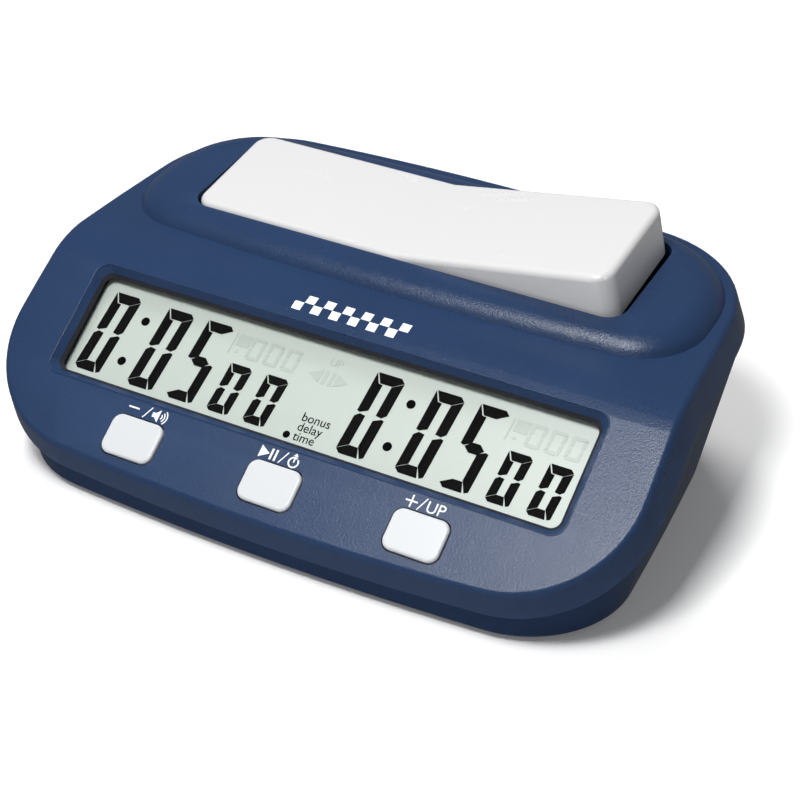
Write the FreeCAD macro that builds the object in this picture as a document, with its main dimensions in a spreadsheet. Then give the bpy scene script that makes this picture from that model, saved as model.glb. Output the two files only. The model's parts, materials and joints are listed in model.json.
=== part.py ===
"""Desk chess clock: sloped display panel, level top with a two-ended rocker, wedge-shaped base."""

import FreeCAD
import Part
import Sketcher
import math
import os

Vector = FreeCAD.Vector
Placement = FreeCAD.Placement
Rotation = FreeCAD.Rotation

doc = FreeCAD.newDocument("chess_clock")
sheet = doc.addObject("Spreadsheet::Sheet", "sizes")

# Driving dimensions in millimetres and degrees. X runs to the right, Y to the back, Z up.
# Runs along the slab are measured up the slope from the middle of the display window.
DRIVING = {
    "panel_tilt": 34.0, "rear_tilt": 3.1, "window_y": -26.6, "window_z": 29.9,
    "bend_start": 13.0, "bend_end": 22.0, "bend_steps": 4,
    "slab_depth": 7.0, "slab_flare": 2.1, "wall": 2.2, "seam_gap": 0.35,
    "front_run": 29.9, "front_bow": 668.0, "front_corner": 26.0,
    "side_half": 73.2, "side_mid": -20.0, "side_bow": 600.0,
    "rear_run": 77.5, "rear_bow": 520.0, "rear_corner": 27.5, "rim_round": 1.0,
    "base_front": 47.7, "base_front_bow": 640.0, "base_front_corner": 22.0,
    "base_side": 71.7, "base_side_mid": -99.0, "base_side_bow": 1000.0,
    "base_rear": 44.5, "base_rear_bow": 500.0, "base_rear_corner": 26.0,
    "base_draft": 11.0, "foot_height": 1.2, "foot_diameter": 10.0, "floor": 2.0,
    "hood_tilt": 8.0, "hood_y": 20.55, "hood_z": 46.6, "hood_drop": 10.0,
    "hood_front": 24.2, "hood_front_corner": 15.0, "hood_side": 67.6, "hood_side_bow": 75.0,
    "hood_side_mid": -7.0, "hood_rear": 22.7, "hood_rear_corner": 23.5, "hood_long_bow": 900.0,
    "hood_lean": 30.0, "hood_round": 7.0, "crown_tilt": 5.0,
    "window_width": 119.8, "window_height": 26.5, "window_corner": 3.0, "bevel_inset": 1.9,
    "button_pitch": 33.0, "button_run": -21.7, "button_width": 12.2, "button_height": 8.9,
    "button_corner": 2.2, "button_proud": 1.0, "button_gap": 0.3, "button_round": 0.8,
    "flange_margin": 1.1, "flange_thickness": 1.0, "stem_diameter": 3.0,
    "plunger_top": 4.8, "plunger_diameter": 3.2, "plunger_length": 2.0, "switch_size": 6.0,
    "board_depth": 9.0, "board_thickness": 1.6, "board_width": 114.0, "board_height": 40.0,
    "board_run": -6.5, "board_corner": 8.0,
    "rocker_half": 50.2, "rocker_depth": 28.8, "rocker_angle": 5.2, "rocker_sink": 0.3,
    "rocker_skirt": 11.0, "rocker_corner": 4.0, "rocker_round": 1.4, "rocker_wall": 2.2,
    "pivot_drop": 9.0, "pin_diameter": 3.0, "pin_length": 39.2, "ear_thickness": 1.6, "pin_fit": 0.04,
    "well_half": 51.1, "well_depth": 30.0, "well_floor": 13.0, "well_corner": 4.4, "well_wall": 1.8,
    "magnet_diameter": 5.0, "magnet_height": 2.5, "magnet_reach": 42.0,
    "boss_diameter": 7.0, "boss_front_x": 64.5, "boss_front_y": -26.0, "boss_front_z": 17.0,
    "boss_rear_x": 58.5, "boss_rear_y": 24.0, "boss_rear_z": 30.0,
    "screw_diameter": 2.8, "screw_head": 5.4, "screw_head_height": 1.9,
    "cell_diameter": 14.2, "cell_length": 49.2, "cell_y": 22.0, "cell_z": 11.6,
    "bay_half": 29.0, "bay_front": 13.0, "bay_rear": 31.0, "bay_top": 20.6,
    "door_half": 29.6, "door_tongue": 1.3, "door_front": 10.0, "door_rear": 43.4,
    "door_thickness": 2.0, "door_lip": 0.85, "door_fit": 0.15, "door_grip_length": 18.0,
    "door_grip_width": 0.8, "door_grip_pitch": 2.4, "door_grip_y": 33.0,
    "bay_wall": 1.8, "bay_roof": 1.6, "nub_diameter": 5.4, "nub_height": 1.2,
    "contact_width": 9.0, "contact_height": 11.0, "contact_thickness": 0.4,
    "spring_radius": 3.4, "spring_wire": 0.3, "spring_turns": 3.2, "lead_diameter": 1.3,
    "fit": 0.05, "lens_width": 119.6, "lens_height": 26.0, "lens_corner": 2.0, "lens_thickness": 1.0,
    "frame_width": 121.2, "frame_height": 30.0, "frame_corner": 2.5, "frame_lip": 0.8,
    "sight_width": 117.4, "sight_height": 24.3, "sight_corner": 1.2,
    "room_width": 119.2, "room_height": 27.4, "glass_width": 118.8, "glass_height": 27.0,
    "glass_corner": 1.0, "glass_thickness": 2.2, "backing_width": 116.0, "backing_height": 21.0,
    "backing_corner": 0.4, "backing_thickness": 0.3,
    "strip_length": 112.0, "strip_width": 2.0, "strip_run": 12.0,
    "post_diameter": 4.6, "post_bore": 2.2, "post_inner": 16.5, "post_outer": 53.0,
    "board_hole": 2.4, "board_screw": 2.0, "board_screw_head": 4.2, "board_screw_head_height": 1.4,
    "chip_size": 12.0, "chip_height": 1.6, "chip_u": 18.0, "chip_v": 2.0,
    "crystal_diameter": 3.0, "crystal_length": 8.0, "crystal_u": -2.0, "crystal_v": -4.0,
    "switch_height": 3.4, "plunger_fit": 0.1,
    "ear_margin": 2.5, "clip_diameter": 6.4, "clip_core": 2.3, "clip_thickness": 0.5,
    "groove_core": 2.2, "groove_width": 0.6, "groove_inset": 0.9,
    "magnet_post_wall": 1.2, "latch_diameter": 8.0, "latch_thickness": 0.8,
    "sensor_length": 96.0, "sensor_width": 9.0, "sensor_thickness": 1.0, "sensor_corner": 1.0,
    "sensor_chip_length": 4.0, "sensor_chip_width": 3.0, "sensor_chip_height": 1.5,
    "sounder_x": 38.0, "sounder_y": -12.0, "sounder_diameter": 20.0, "sounder_height": 3.6,
    "sounder_wall": 1.1, "slot_width": 1.4, "slot_length": 12.0, "slot_pitch": 3.0,
    "power_x": -40.0, "power_y": -12.0, "power_length": 13.0, "power_width": 7.0,
    "power_height": 5.0, "power_window_length": 9.0, "power_window_width": 4.2,
    "knob_length": 3.6, "knob_width": 3.0, "knob_offset": 1.9, "ridge_width": 0.4,
    "recess_length": 3.2, "recess_width": 0.7,
}

for row, (alias, value) in enumerate(DRIVING.items(), start=1):
    sheet.set("A%d" % row, alias)
    sheet.set("B%d" % row, str(value))
    sheet.setAlias("B%d" % row, alias)
doc.recompute()


def size(alias):
    return float(sheet.get(alias))


def number(expression):
    """The value of an expression over the sheet's aliases, as written for setExpression."""
    value = sheet.evalExpression(expression)
    return float(getattr(value, "Value", value))


def bind(item, **expressions):
    for prop, expression in expressions.items():
        item.setExpression(prop, expression)


# ---------------------------------------------------------------- frames
def on(frame, x=0.0, y=0.0, z=0.0, turn=None):
    return frame.multiply(Placement(Vector(x, y, z), turn or Rotation()))


def leaned(angle):
    return Rotation(Vector(1, 0, 0), angle)


# The crown is the hood's top surface: the hood's plane, turned down about the hood's front edge.
LEVEL = Placement()
PANEL = Placement(Vector(0, size("window_y"), size("window_z")), leaned(size("panel_tilt")))
HOOD = Placement(Vector(0, size("hood_y"), size("hood_z")), leaned(size("hood_tilt")))
HOOD_EDGE = on(HOOD, 0, -size("hood_front"), 0, leaned(size("crown_tilt") - size("hood_tilt")))
CROWN = on(HOOD_EDGE, 0, size("hood_front"))
PIVOT = on(HOOD, 0, 0, -size("pivot_drop"))
REST = on(PIVOT, turn=Rotation(Vector(0, 1, 0), -size("rocker_angle")))
ALONG_X = Rotation(Vector(0, 1, 0), 90)
ALONG_Y = leaned(-90)
BOSSES = [(side * size("boss_%s_x" % end), size("boss_%s_y" % end), size("boss_%s_z" % end))
          for end in ("front", "rear") for side in (-1, 1)]
BUTTONS = {"left": -size("button_pitch"), "middle": 0.0, "right": size("button_pitch")}
POSTS = [-size("post_outer"), -size("post_inner"), size("post_inner"), size("post_outer")]
FEET = {"front_left": (-50, -36), "front_right": (50, -36),
        "rear_left": (-47, 33), "rear_right": (47, 33)}
SIDES = {"left": -1, "right": 1}
HEAD_SEAT = 11.0
SCREW_BITE = 6.5
RIM_STEPS = 4
SOUNDER = (size("sounder_x"), size("sounder_y"))
POWER = (size("power_x"), size("power_y"))
# Reach of the helper blocks that cut or trim; any length past the casing serves.
FAR = 200.0


# ---------------------------------------------------------------- building blocks
def box(name, length, width, height, place):
    """A block centred on its place in X and Y, standing on it. Sizes are expressions."""
    item = doc.addObject("Part::Box", name)
    bind(item, Length=length, Width=width, Height=height)
    shift = Vector(-number(length) / 2, -number(width) / 2, 0)
    item.Placement = place.multiply(Placement(shift, Rotation()))
    return item


def rod(name, diameter, length, place):
    """A cylinder that stands on its place."""
    item = doc.addObject("Part::Cylinder", name)
    bind(item, Radius="(%s) / 2" % diameter, Height=length)
    item.Placement = place
    return item


def solid(name, shape):
    item = doc.addObject("Part::Feature", name)
    item.Shape = shape
    return item


def join(name, parts):
    item = doc.addObject("Part::MultiFuse", name)
    item.Shapes = parts
    item.Refine = True
    return item


def cut(name, base, tool):
    item = doc.addObject("Part::Cut", name)
    item.Base = base
    item.Tool = tool if not isinstance(tool, list) else join(name + "_tools", tool)
    return item


def group(name, parts):
    item = doc.addObject("Part::Compound", name)
    item.Links = parts
    return item


def origin_plane(body, role):
    return next(f for f in body.Origin.OriginFeatures if f.Role == role)


def add_sketch(body, role, name):
    sketch = body.newObject("Sketcher::SketchObject", name)
    sketch.AttachmentSupport = [(origin_plane(body, role), "")]
    sketch.MapMode = "FlatFace"
    return sketch


def fix(sketch, kind, geometry, point, expression):
    """Hold one coordinate of a point at the value of an expression."""
    row = sketch.addConstraint(Sketcher.Constraint(kind, -1, 1, geometry, point, number(expression)))
    sketch.setExpression("Constraints[%d]" % row, expression)


def rounded_rectangle(sketch, width, height, corner):
    """A centred rectangle with round corners, its width, height and corner radius bound."""
    w = number(width) / 2
    h = number(height) / 2
    r = number(corner)
    lines = [((-w + r, -h), (w - r, -h)), ((w, -h + r), (w, h - r)),
             ((w - r, h), (-w + r, h)), ((-w, h - r), (-w, -h + r))]
    centres = [(w - r, -h + r, -90), (w - r, h - r, 0), (-w + r, h - r, 90), (-w + r, -h + r, 180)]
    for start, end in lines:
        sketch.addGeometry(Part.LineSegment(Vector(*start, 0), Vector(*end, 0)), False)
    for x, y, angle in centres:
        circle = Part.Circle(Vector(x, y, 0), Vector(0, 0, 1), r)
        sketch.addGeometry(
            Part.ArcOfCircle(circle, math.radians(angle), math.radians(angle + 90)), False)
    for side in range(4):
        sketch.addConstraint(Sketcher.Constraint("Tangent", side, 2, 4 + side, 1))
        sketch.addConstraint(Sketcher.Constraint("Tangent", 4 + side, 2, (side + 1) % 4, 1))
    for side in (0, 2):
        sketch.addConstraint(Sketcher.Constraint("Horizontal", side))
    for side in (1, 3):
        sketch.addConstraint(Sketcher.Constraint("Vertical", side))
    for other in (5, 6, 7):
        sketch.addConstraint(Sketcher.Constraint("Equal", 4, other))
    row = sketch.addConstraint(Sketcher.Constraint("Radius", 4, r))
    sketch.setExpression("Constraints[%d]" % row, corner)
    fix(sketch, "DistanceX", 1, 1, "(%s) / 2" % width)
    fix(sketch, "DistanceX", 3, 1, "-(%s) / 2" % width)
    fix(sketch, "DistanceY", 0, 1, "-(%s) / 2" % height)
    fix(sketch, "DistanceY", 2, 1, "(%s) / 2" % height)


def plate(name, width, height, corner, thickness, place, round_top=None):
    """A rounded rectangular plate padded up from its place, its top edge rounded if asked."""
    body = doc.addObject("PartDesign::Body", name)
    sketch = add_sketch(body, "XY_Plane", name + "_outline")
    rounded_rectangle(sketch, width, height, corner)
    pad = body.newObject("PartDesign::Pad", name + "_pad")
    pad.Profile = sketch
    bind(pad, Length=thickness)
    doc.recompute()
    if round_top:
        top = max(range(len(pad.Shape.Faces)), key=lambda i: pad.Shape.Faces[i].CenterOfMass.z)
        fillet = body.newObject("PartDesign::Fillet", name + "_round")
        fillet.Base = (pad, ["Face%d" % (top + 1)])
        bind(fillet, Radius=round_top)
        body.Tip = fillet
    body.Placement = place
    return body


def profile_bar(name, points, length, place):
    """A closed outline in the XZ plane, padded both ways along Y. Points are expressions."""
    body = doc.addObject("PartDesign::Body", name)
    sketch = add_sketch(body, "XZ_Plane", name + "_profile")
    spots = [Vector(number(x), number(z), 0) for x, z in points]
    for start, end in zip(spots, spots[1:] + spots[:1]):
        sketch.addGeometry(Part.LineSegment(start, end), False)
    for index in range(len(points)):
        following = (index + 1) % len(points)
        sketch.addConstraint(Sketcher.Constraint("Coincident", index, 2, following, 1))
    for index, (x, z) in enumerate(points):
        fix(sketch, "DistanceX", index, 1, x)
        fix(sketch, "DistanceY", index, 1, z)
    pad = body.newObject("PartDesign::Pad", name + "_pad")
    pad.Profile = sketch
    pad.Midplane = True
    bind(pad, Length=length)
    body.Placement = place
    doc.recompute()
    return body


# ---------------------------------------------------------------- outlines of the casing
def corner_centre(long_centre, long_radius, side_centre, side_radius, corner):
    """Centre of a corner arc that is tangent inside both the long arc and the side arc."""
    reach_long = long_radius - corner
    reach_side = side_radius - corner
    between = side_centre.sub(long_centre)
    span = between.Length
    along = (reach_long ** 2 - reach_side ** 2 + span ** 2) / (2 * span)
    across = math.sqrt(reach_long ** 2 - along ** 2)
    unit = between.multiply(1 / span)
    normal = Vector(-unit.y, unit.x, 0)
    options = [long_centre.add(Vector(unit).multiply(along)).add(Vector(normal).multiply(sign * across))
               for sign in (1, -1)]
    return max(options, key=lambda c: c.x)


def outline(front, front_bow, front_corner, side, side_mid, side_bow, rear, rear_bow, rear_corner,
            grow=0.0):
    """Closed outline of eight tangent arcs, symmetric about X = 0, offset outwards by grow."""
    front_centre = Vector(0, -front + front_bow, 0)
    rear_centre = Vector(0, rear - rear_bow, 0)
    side_centre = Vector(side - side_bow, side_mid, 0)
    low = corner_centre(front_centre, front_bow, side_centre, side_bow, front_corner)
    high = corner_centre(rear_centre, rear_bow, side_centre, side_bow, rear_corner)

    def toward(centre, radius, through):
        return centre.add(through.sub(centre).normalize().multiply(radius + grow))

    def mirror(point):
        return Vector(-point.x, point.y, 0)

    low_front = toward(front_centre, front_bow, low)
    low_side = toward(side_centre, side_bow, low)
    high_side = toward(side_centre, side_bow, high)
    high_rear = toward(rear_centre, rear_bow, high)
    low_turn = low.add(low_front.sub(low).normalize().add(low_side.sub(low).normalize())
                       .normalize().multiply(front_corner + grow))
    high_turn = high.add(high_side.sub(high).normalize().add(high_rear.sub(high).normalize())
                         .normalize().multiply(rear_corner + grow))
    side_turn = side_centre.add(low_side.add(high_side).multiply(0.5).sub(side_centre)
                                .normalize().multiply(side_bow + grow))
    front_turn = Vector(0, -front - grow, 0)
    rear_turn = Vector(0, rear + grow, 0)
    arcs = [
        (mirror(low_front), front_turn, low_front), (low_front, low_turn, low_side),
        (low_side, side_turn, high_side), (high_side, high_turn, high_rear),
        (high_rear, rear_turn, mirror(high_rear)),
        (mirror(high_rear), mirror(high_turn), mirror(high_side)),
        (mirror(high_side), mirror(side_turn), mirror(low_side)),
        (mirror(low_side), mirror(low_turn), mirror(low_front)),
    ]
    return Part.Wire([Part.Arc(*arc).toShape() for arc in arcs])


def slab_outline(grow):
    return outline(size("front_run"), size("front_bow"), size("front_corner"), size("side_half"),
                   size("side_mid"), size("side_bow"), size("rear_run"), size("rear_bow"),
                   size("rear_corner"), grow)


def base_outline(grow):
    return outline(size("base_front"), size("base_front_bow"), size("base_front_corner"),
                   size("base_side"), size("base_side_mid"), size("base_side_bow"),
                   size("base_rear"), size("base_rear_bow"), size("base_rear_corner"), grow)


def hood_outline(grow):
    return outline(size("hood_front"), size("hood_long_bow"), size("hood_front_corner"),
                   size("hood_side"), size("hood_side_mid"), size("hood_side_bow"), size("hood_rear"),
                   size("hood_long_bow"), size("hood_rear_corner"), grow)


# The slab's top line in the YZ plane: straight up the panel, turned in equal steps through the
# bend, then straight to the rear. Each stretch is (run at its start, its tilt).
def stretches():
    steps = int(size("bend_steps"))
    start = size("bend_start")
    pitch = (size("bend_end") - start) / steps
    turn = (size("rear_tilt") - size("panel_tilt")) / (steps + 1)
    knots = [start + pitch * step for step in range(steps + 1)]
    return [(knot, size("panel_tilt") + turn * (index + 1)) for index, knot in enumerate(knots)]


def slab_corners():
    """Corners of the slab's top line: run, tilt before, tilt after, y and z of each."""
    y = size("window_y")
    z = size("window_z")
    run = 0.0
    angle = size("panel_tilt")
    corners = []
    for knot, following in stretches():
        y += (knot - run) * math.cos(math.radians(angle))
        z += (knot - run) * math.sin(math.radians(angle))
        corners.append((knot, angle, following, y, z))
        run = knot
        angle = following
    return corners


def line_points(depth):
    """Corner points of the slab's line at a depth below its top, from far front to far rear."""
    corners = slab_corners()
    points = []
    for _, before, after, y, z in corners:
        middle = math.radians((before + after) / 2)
        reach = depth / math.cos(math.radians((after - before) / 2))
        points.append(Vector(0, y + reach * math.sin(middle), z - reach * math.cos(middle)))
    front = math.radians(corners[0][1])
    rear = math.radians(corners[-1][2])
    points.insert(0, points[0].sub(Vector(0, FAR * math.cos(front), FAR * math.sin(front))))
    points.append(points[-1].add(Vector(0, FAR * math.cos(rear), FAR * math.sin(rear))))
    return points


def above_line(depth):
    """Everything above the slab's line at a depth."""
    points = line_points(depth)
    front = points[0]
    rear = points[-1]
    ring = points + [Vector(0, rear.y, FAR), Vector(0, front.y, FAR), front]
    face = Part.Face(Part.makePolygon(ring))
    return face.extrude(Vector(2 * FAR, 0, 0)).translated(Vector(-FAR, 0, 0))


def slab_levels(grow_top, grow_bottom, depth_top, depth_bottom, rim):
    """Growth and depth of the slab's outlines from its foot up; a rim rounds its top in steps."""
    slope = (grow_bottom - grow_top) / (depth_bottom - depth_top)
    levels = [(grow_bottom, depth_bottom)]
    for step in range(RIM_STEPS if rim else 0):
        turn = math.radians(90.0 * step / RIM_STEPS)
        below = rim * (1 - math.sin(turn))
        levels.append((grow_top + slope * below - rim * (1 - math.cos(turn)), depth_top + below))
    levels.append((grow_top - rim, depth_top))
    return levels


def slab_body(grow_top, grow_bottom, depth_top, depth_bottom, rim=0.0):
    """The bent slab: a flared plate in each stretch's own plane, mitred to the next."""
    levels = slab_levels(grow_top, grow_bottom, depth_top, depth_bottom, rim)
    frames = [(size("panel_tilt"), 0.0, size("window_y"), size("window_z"))]
    frames += [(after, run, y, z) for run, _, after, y, z in slab_corners()]
    pieces = []
    for index, (angle, run, y, z) in enumerate(frames):
        rings = [slab_outline(grow).translated(Vector(0, -run, -depth)) for grow, depth in levels]
        piece = Part.makeLoft(rings, True, True)
        piece.Placement = Placement(Vector(0, y, z), leaned(angle))
        for end, neighbour in (("start", index - 1), ("end", index + 1)):
            if not 0 <= neighbour < len(frames):
                continue
            other = frames[neighbour]
            hinge = frames[index] if end == "start" else other
            keep = Part.makeBox(2 * FAR, FAR, 2 * FAR)
            keep.translate(Vector(-FAR, 0 if end == "start" else -FAR, -FAR))
            mitre = Placement(Vector(0, hinge[2], hinge[3]), leaned((angle + other[0]) / 2))
            keep.Placement = mitre.multiply(keep.Placement)
            piece = piece.common(keep)
        pieces.append(piece)
    return pieces[0].multiFuse(pieces[1:]).removeSplitter()


def hood_body(grow, sink):
    """The raised hood: leaning walls under a tilted flat top; its outline is true at waist depth."""
    lean = math.tan(math.radians(size("hood_lean")))
    drop = size("hood_drop")
    waist = drop / 2
    bottom = hood_outline(grow + (drop - waist) * lean)
    bottom.translate(Vector(0, 0, -drop))
    top = hood_outline(grow - (waist - sink) * lean)
    top.translate(Vector(0, 0, -sink))
    shape = Part.makeLoft([bottom, top], True, True)
    shape.Placement = CROWN
    return shape


def round_hood(shape):
    """The hood with its top edge rounded."""
    to_crown = CROWN.inverse()
    rim = [e for e in shape.Edges
           if all(abs(to_crown.multVec(v.Point).z) < 1e-6 for v in e.Vertexes)]
    return shape.makeFillet(size("hood_round"), rim)


def bevelled_opening(width, height, corner, inset, depth, place):
    """A rectangular opening that narrows with depth, widened a little above its face."""
    def ring(shrink, level):
        w = width / 2 - shrink
        h = height / 2 - shrink
        r = max(corner - shrink * 0.5, 0.8)
        points = [(-w + r, -h), (w - r, -h), (w, -h + r), (w, h - r),
                  (w - r, h), (-w + r, h), (-w, h - r), (-w, -h + r)]
        middles = [(w - r, -h + r), (w - r, h - r), (-w + r, h - r), (-w + r, -h + r)]
        turn = r * math.sqrt(0.5)
        signs = [(1, -1), (1, 1), (-1, 1), (-1, -1)]
        edges = []
        for side in range(4):
            start = Vector(*points[2 * side], level)
            end = Vector(*points[2 * side + 1], level)
            after = Vector(*points[(2 * side + 2) % 8], level)
            middle = Vector(middles[side][0] + signs[side][0] * turn,
                            middles[side][1] + signs[side][1] * turn, level)
            edges += [Part.LineSegment(start, end).toShape(), Part.Arc(end, middle, after).toShape()]
        return Part.Wire(edges)

    above = 0.5
    slope = inset / depth
    shape = Part.makeLoft([ring(inset + above * slope, -depth - above), ring(-above * slope, above)],
                          True, True)
    shape.Placement = place
    return shape


def lean_offset(height):
    return height * math.tan(math.radians(size("base_draft")))


def base_loft(inset, bottom_z, top_z=60.0):
    """Leaning walls of the wedge from one level to another, inset from the outside."""
    low = base_outline(lean_offset(bottom_z - size("foot_height")) - inset)
    high = base_outline(lean_offset(top_z - size("foot_height")) - inset)
    return Part.makeLoft([low.translated(Vector(0, 0, bottom_z)),
                          high.translated(Vector(0, 0, top_z))], True, True)


# ---------------------------------------------------------------- top shell
def build_top_shell():
    wall = size("wall")
    depth = size("slab_depth")
    flare = size("slab_flare")
    slope = flare / depth
    hood = round_hood(hood_body(0.0, 0.0)).common(above_line(wall / 2))
    outer = slab_body(0.0, flare, 0.0, depth, size("rim_round")).fuse(hood).removeSplitter()
    below = 3.0
    inner = slab_body(-wall + slope * wall, flare - wall + slope * below, wall, depth + below)
    hollow = inner.fuse(hood_body(-wall * 1.15, wall))
    shell = solid("top_shell_skin", outer.cut(hollow))

    well_bottom = size("well_floor") + size("well_wall")
    well = solid("rocker_well_block", well_block(size("well_wall"), well_bottom))
    reach = size("well_depth") / 2 + size("well_wall")
    ears = [rod("pin_ear_" + name, "sizes.pin_diameter + 2 * sizes.ear_margin",
                "sizes.ear_thickness", on(PIVOT, 0, start, 0, ALONG_Y))
            for name, start in (("front", -reach - size("ear_thickness")), ("rear", reach))]
    bosses = [rod("top_boss_%d" % i, "sizes.boss_diameter", "22", on(LEVEL, x, y, z))
              for i, (x, y, z) in enumerate(BOSSES)]
    posts = [rod("board_post_%d" % i, "sizes.post_diameter", "sizes.board_depth - 1",
                 on(PANEL, u, size("button_run"), -size("board_depth")))
             for i, u in enumerate(POSTS)]
    trimmed = doc.addObject("Part::MultiCommon", "top_bosses")
    trimmed.Shapes = [group("top_boss_set", bosses + posts),
                      solid("top_shell_envelope", outer_solid())]
    body = join("top_shell_raw", [shell, well, trimmed] + ears)

    tools = [solid("rocker_well_void", well_block(0.0, size("well_floor"), above=6.0))]
    tools.append(solid("window_void", bevelled_opening(
        size("window_width"), size("window_height"), size("window_corner"), size("bevel_inset"),
        wall, PANEL)))
    for name, u in BUTTONS.items():
        tools.append(plate("button_hole_" + name, "sizes.button_width + 2 * sizes.button_gap",
                           "sizes.button_height + 2 * sizes.button_gap",
                           "sizes.button_corner + sizes.button_gap", "sizes.wall + 2",
                           on(PANEL, u, size("button_run"), -size("wall") - 1)))
    tools.append(rod("pin_bore", "sizes.pin_diameter + 2 * sizes.pin_fit", "sizes.pin_length",
                     on(PIVOT, 0, -size("pin_length") / 2, 0, ALONG_Y)))
    tools += [rod("top_screw_bore_%d" % i, "sizes.screw_diameter + 0.2", "9",
                  on(LEVEL, x, y, z - 0.5)) for i, (x, y, z) in enumerate(BOSSES)]
    tools += [rod("post_bore_%d" % i, "sizes.post_bore", "6",
                  on(PANEL, u, size("button_run"), -size("board_depth") - 0.5))
              for i, u in enumerate(POSTS)]
    tools += [rod("plate_seat_" + name, "sizes.latch_diameter + 0.3", "sizes.latch_thickness + 0.1",
                  on(HOOD, side * size("magnet_reach"), 0,
                     -size("well_floor") - size("latch_thickness") - size("fit")))
              for name, side in SIDES.items()]
    return cut("top_shell", body, tools)


def outer_solid():
    """The casing's full upper volume, which trims the bosses to the inside of the skin."""
    wall = size("wall")
    depth = size("slab_depth")
    flare = size("slab_flare")
    slope = flare / depth
    reach = 20.0
    slab = slab_body(-wall / 2 + slope * wall / 2, flare - wall / 2 + slope * (reach - depth),
                     wall / 2, reach)
    return slab.fuse(hood_body(-wall, wall / 2))


def well_block(wall, depth, above=0.0):
    """The rocker's well, or with a wall the tray around it, trimmed under the hood's skin."""
    half = size("well_half") + wall
    deep = size("well_depth") / 2 + wall
    block = Part.makeBox(2 * half, 2 * deep, depth + above)
    block.translate(Vector(-half, -deep, -depth))
    upright = [e for e in block.Edges if abs(e.tangentAt(e.FirstParameter).z) > 0.99]
    block = block.makeFillet(size("well_corner") + wall, upright)
    block.Placement = HOOD
    if wall:
        block = block.common(hood_body(-0.6, 0.6).fuse(below_hood()))
    return block


def below_hood():
    """A block under the hood's walls, wide enough for the whole tray."""
    block = Part.makeBox(FAR, FAR, FAR)
    block.translate(Vector(-FAR / 2, -FAR / 2, -FAR - 4))
    block.Placement = HOOD
    return block


# ---------------------------------------------------------------- bottom shell
def build_bottom_shell():
    wall = size("wall")
    base = size("foot_height")
    floor_top = base + size("floor")
    under = above_line(size("slab_depth") + size("seam_gap"))
    skin = base_loft(0.0, base).cut(base_loft(wall, floor_top)).cut(under)
    lowest = [e for e in skin.Edges if all(abs(v.Z - base) < 1e-6 for v in e.Vertexes)]
    skin = skin.makeFillet(1.2, lowest)
    shell = solid("bottom_shell_skin", skin)
    inside = solid("bottom_shell_envelope", base_loft(wall / 2, base + 0.4).cut(under))

    ribs = [rod("bottom_boss_%d" % i, "sizes.boss_diameter", "%s - sizes.foot_height" % z,
                on(LEVEL, x, y, base)) for i, (x, y, z) in enumerate(BOSSES)]
    bay_middle = (size("bay_front") + size("bay_rear")) / 2
    door_middle = (size("door_front") + size("door_rear")) / 2
    ribs.append(box("bay_block", "2 * (sizes.bay_half + sizes.bay_wall)",
                    "sizes.bay_rear - sizes.bay_front + 2 * sizes.bay_wall",
                    "sizes.bay_top + sizes.bay_roof - sizes.foot_height",
                    on(LEVEL, 0, bay_middle, base)))
    ribs.append(box("door_bed", "2 * (sizes.door_half + sizes.door_tongue + 1.9)",
                    "sizes.door_rear - sizes.door_front + 6", "5",
                    on(LEVEL, 0, door_middle + 1, base)))
    ribs.append(rod("sounder_ring", "sizes.sounder_diameter + 0.4 + 2 * sizes.sounder_wall", "3.2",
                    on(LEVEL, *SOUNDER, base)))
    trimmed = doc.addObject("Part::MultiCommon", "bottom_ribs")
    trimmed.Shapes = [join("bottom_rib_set", ribs), inside]
    body = join("bottom_shell_raw", [shell, trimmed])

    tools = [box("bay_void", "2 * sizes.bay_half", "sizes.bay_rear - sizes.bay_front",
                 "sizes.bay_top - sizes.foot_height + 1", on(LEVEL, 0, bay_middle, base - 1))]
    past_rear = 60.0
    run_length = "%s - sizes.door_front" % past_rear
    run_middle = (size("door_front") + past_rear) / 2
    tools.append(box("door_opening", "2 * (sizes.door_half + sizes.door_fit)", run_length, "1.9",
                     on(LEVEL, 0, run_middle, base - 1)))
    tools.append(box("door_groove", "2 * (sizes.door_half + sizes.door_tongue + sizes.door_fit)",
                     run_length, "sizes.door_thickness - sizes.door_lip + 0.25",
                     on(LEVEL, 0, run_middle, base + size("door_lip") - 0.1)))
    for i, (x, y, z) in enumerate(BOSSES):
        tools.append(rod("bottom_screw_bore_%d" % i, "sizes.screw_diameter + 0.5", "50",
                         on(LEVEL, x, y, base - 1)))
        tools.append(rod("head_bore_%d" % i, "sizes.screw_head + 0.6", str(z - HEAD_SEAT - base + 1),
                         on(LEVEL, x, y, base - 1)))
    tools.append(rod("sounder_seat", "sizes.sounder_diameter + 0.4", "3",
                     on(LEVEL, *SOUNDER, base + 1.2)))
    for step in range(-2, 3):
        tools.append(box("grille_slot_%d" % (step + 2), "sizes.slot_width",
                         "sizes.slot_length - %s" % (1.5 * abs(step)), "4",
                         on(LEVEL, SOUNDER[0] + size("slot_pitch") * step, SOUNDER[1], base - 1)))
    tools.append(box("switch_window", "sizes.power_window_length", "sizes.power_window_width", "4",
                     on(LEVEL, *POWER, base - 1)))
    return cut("bottom_shell", body, tools)


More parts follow.
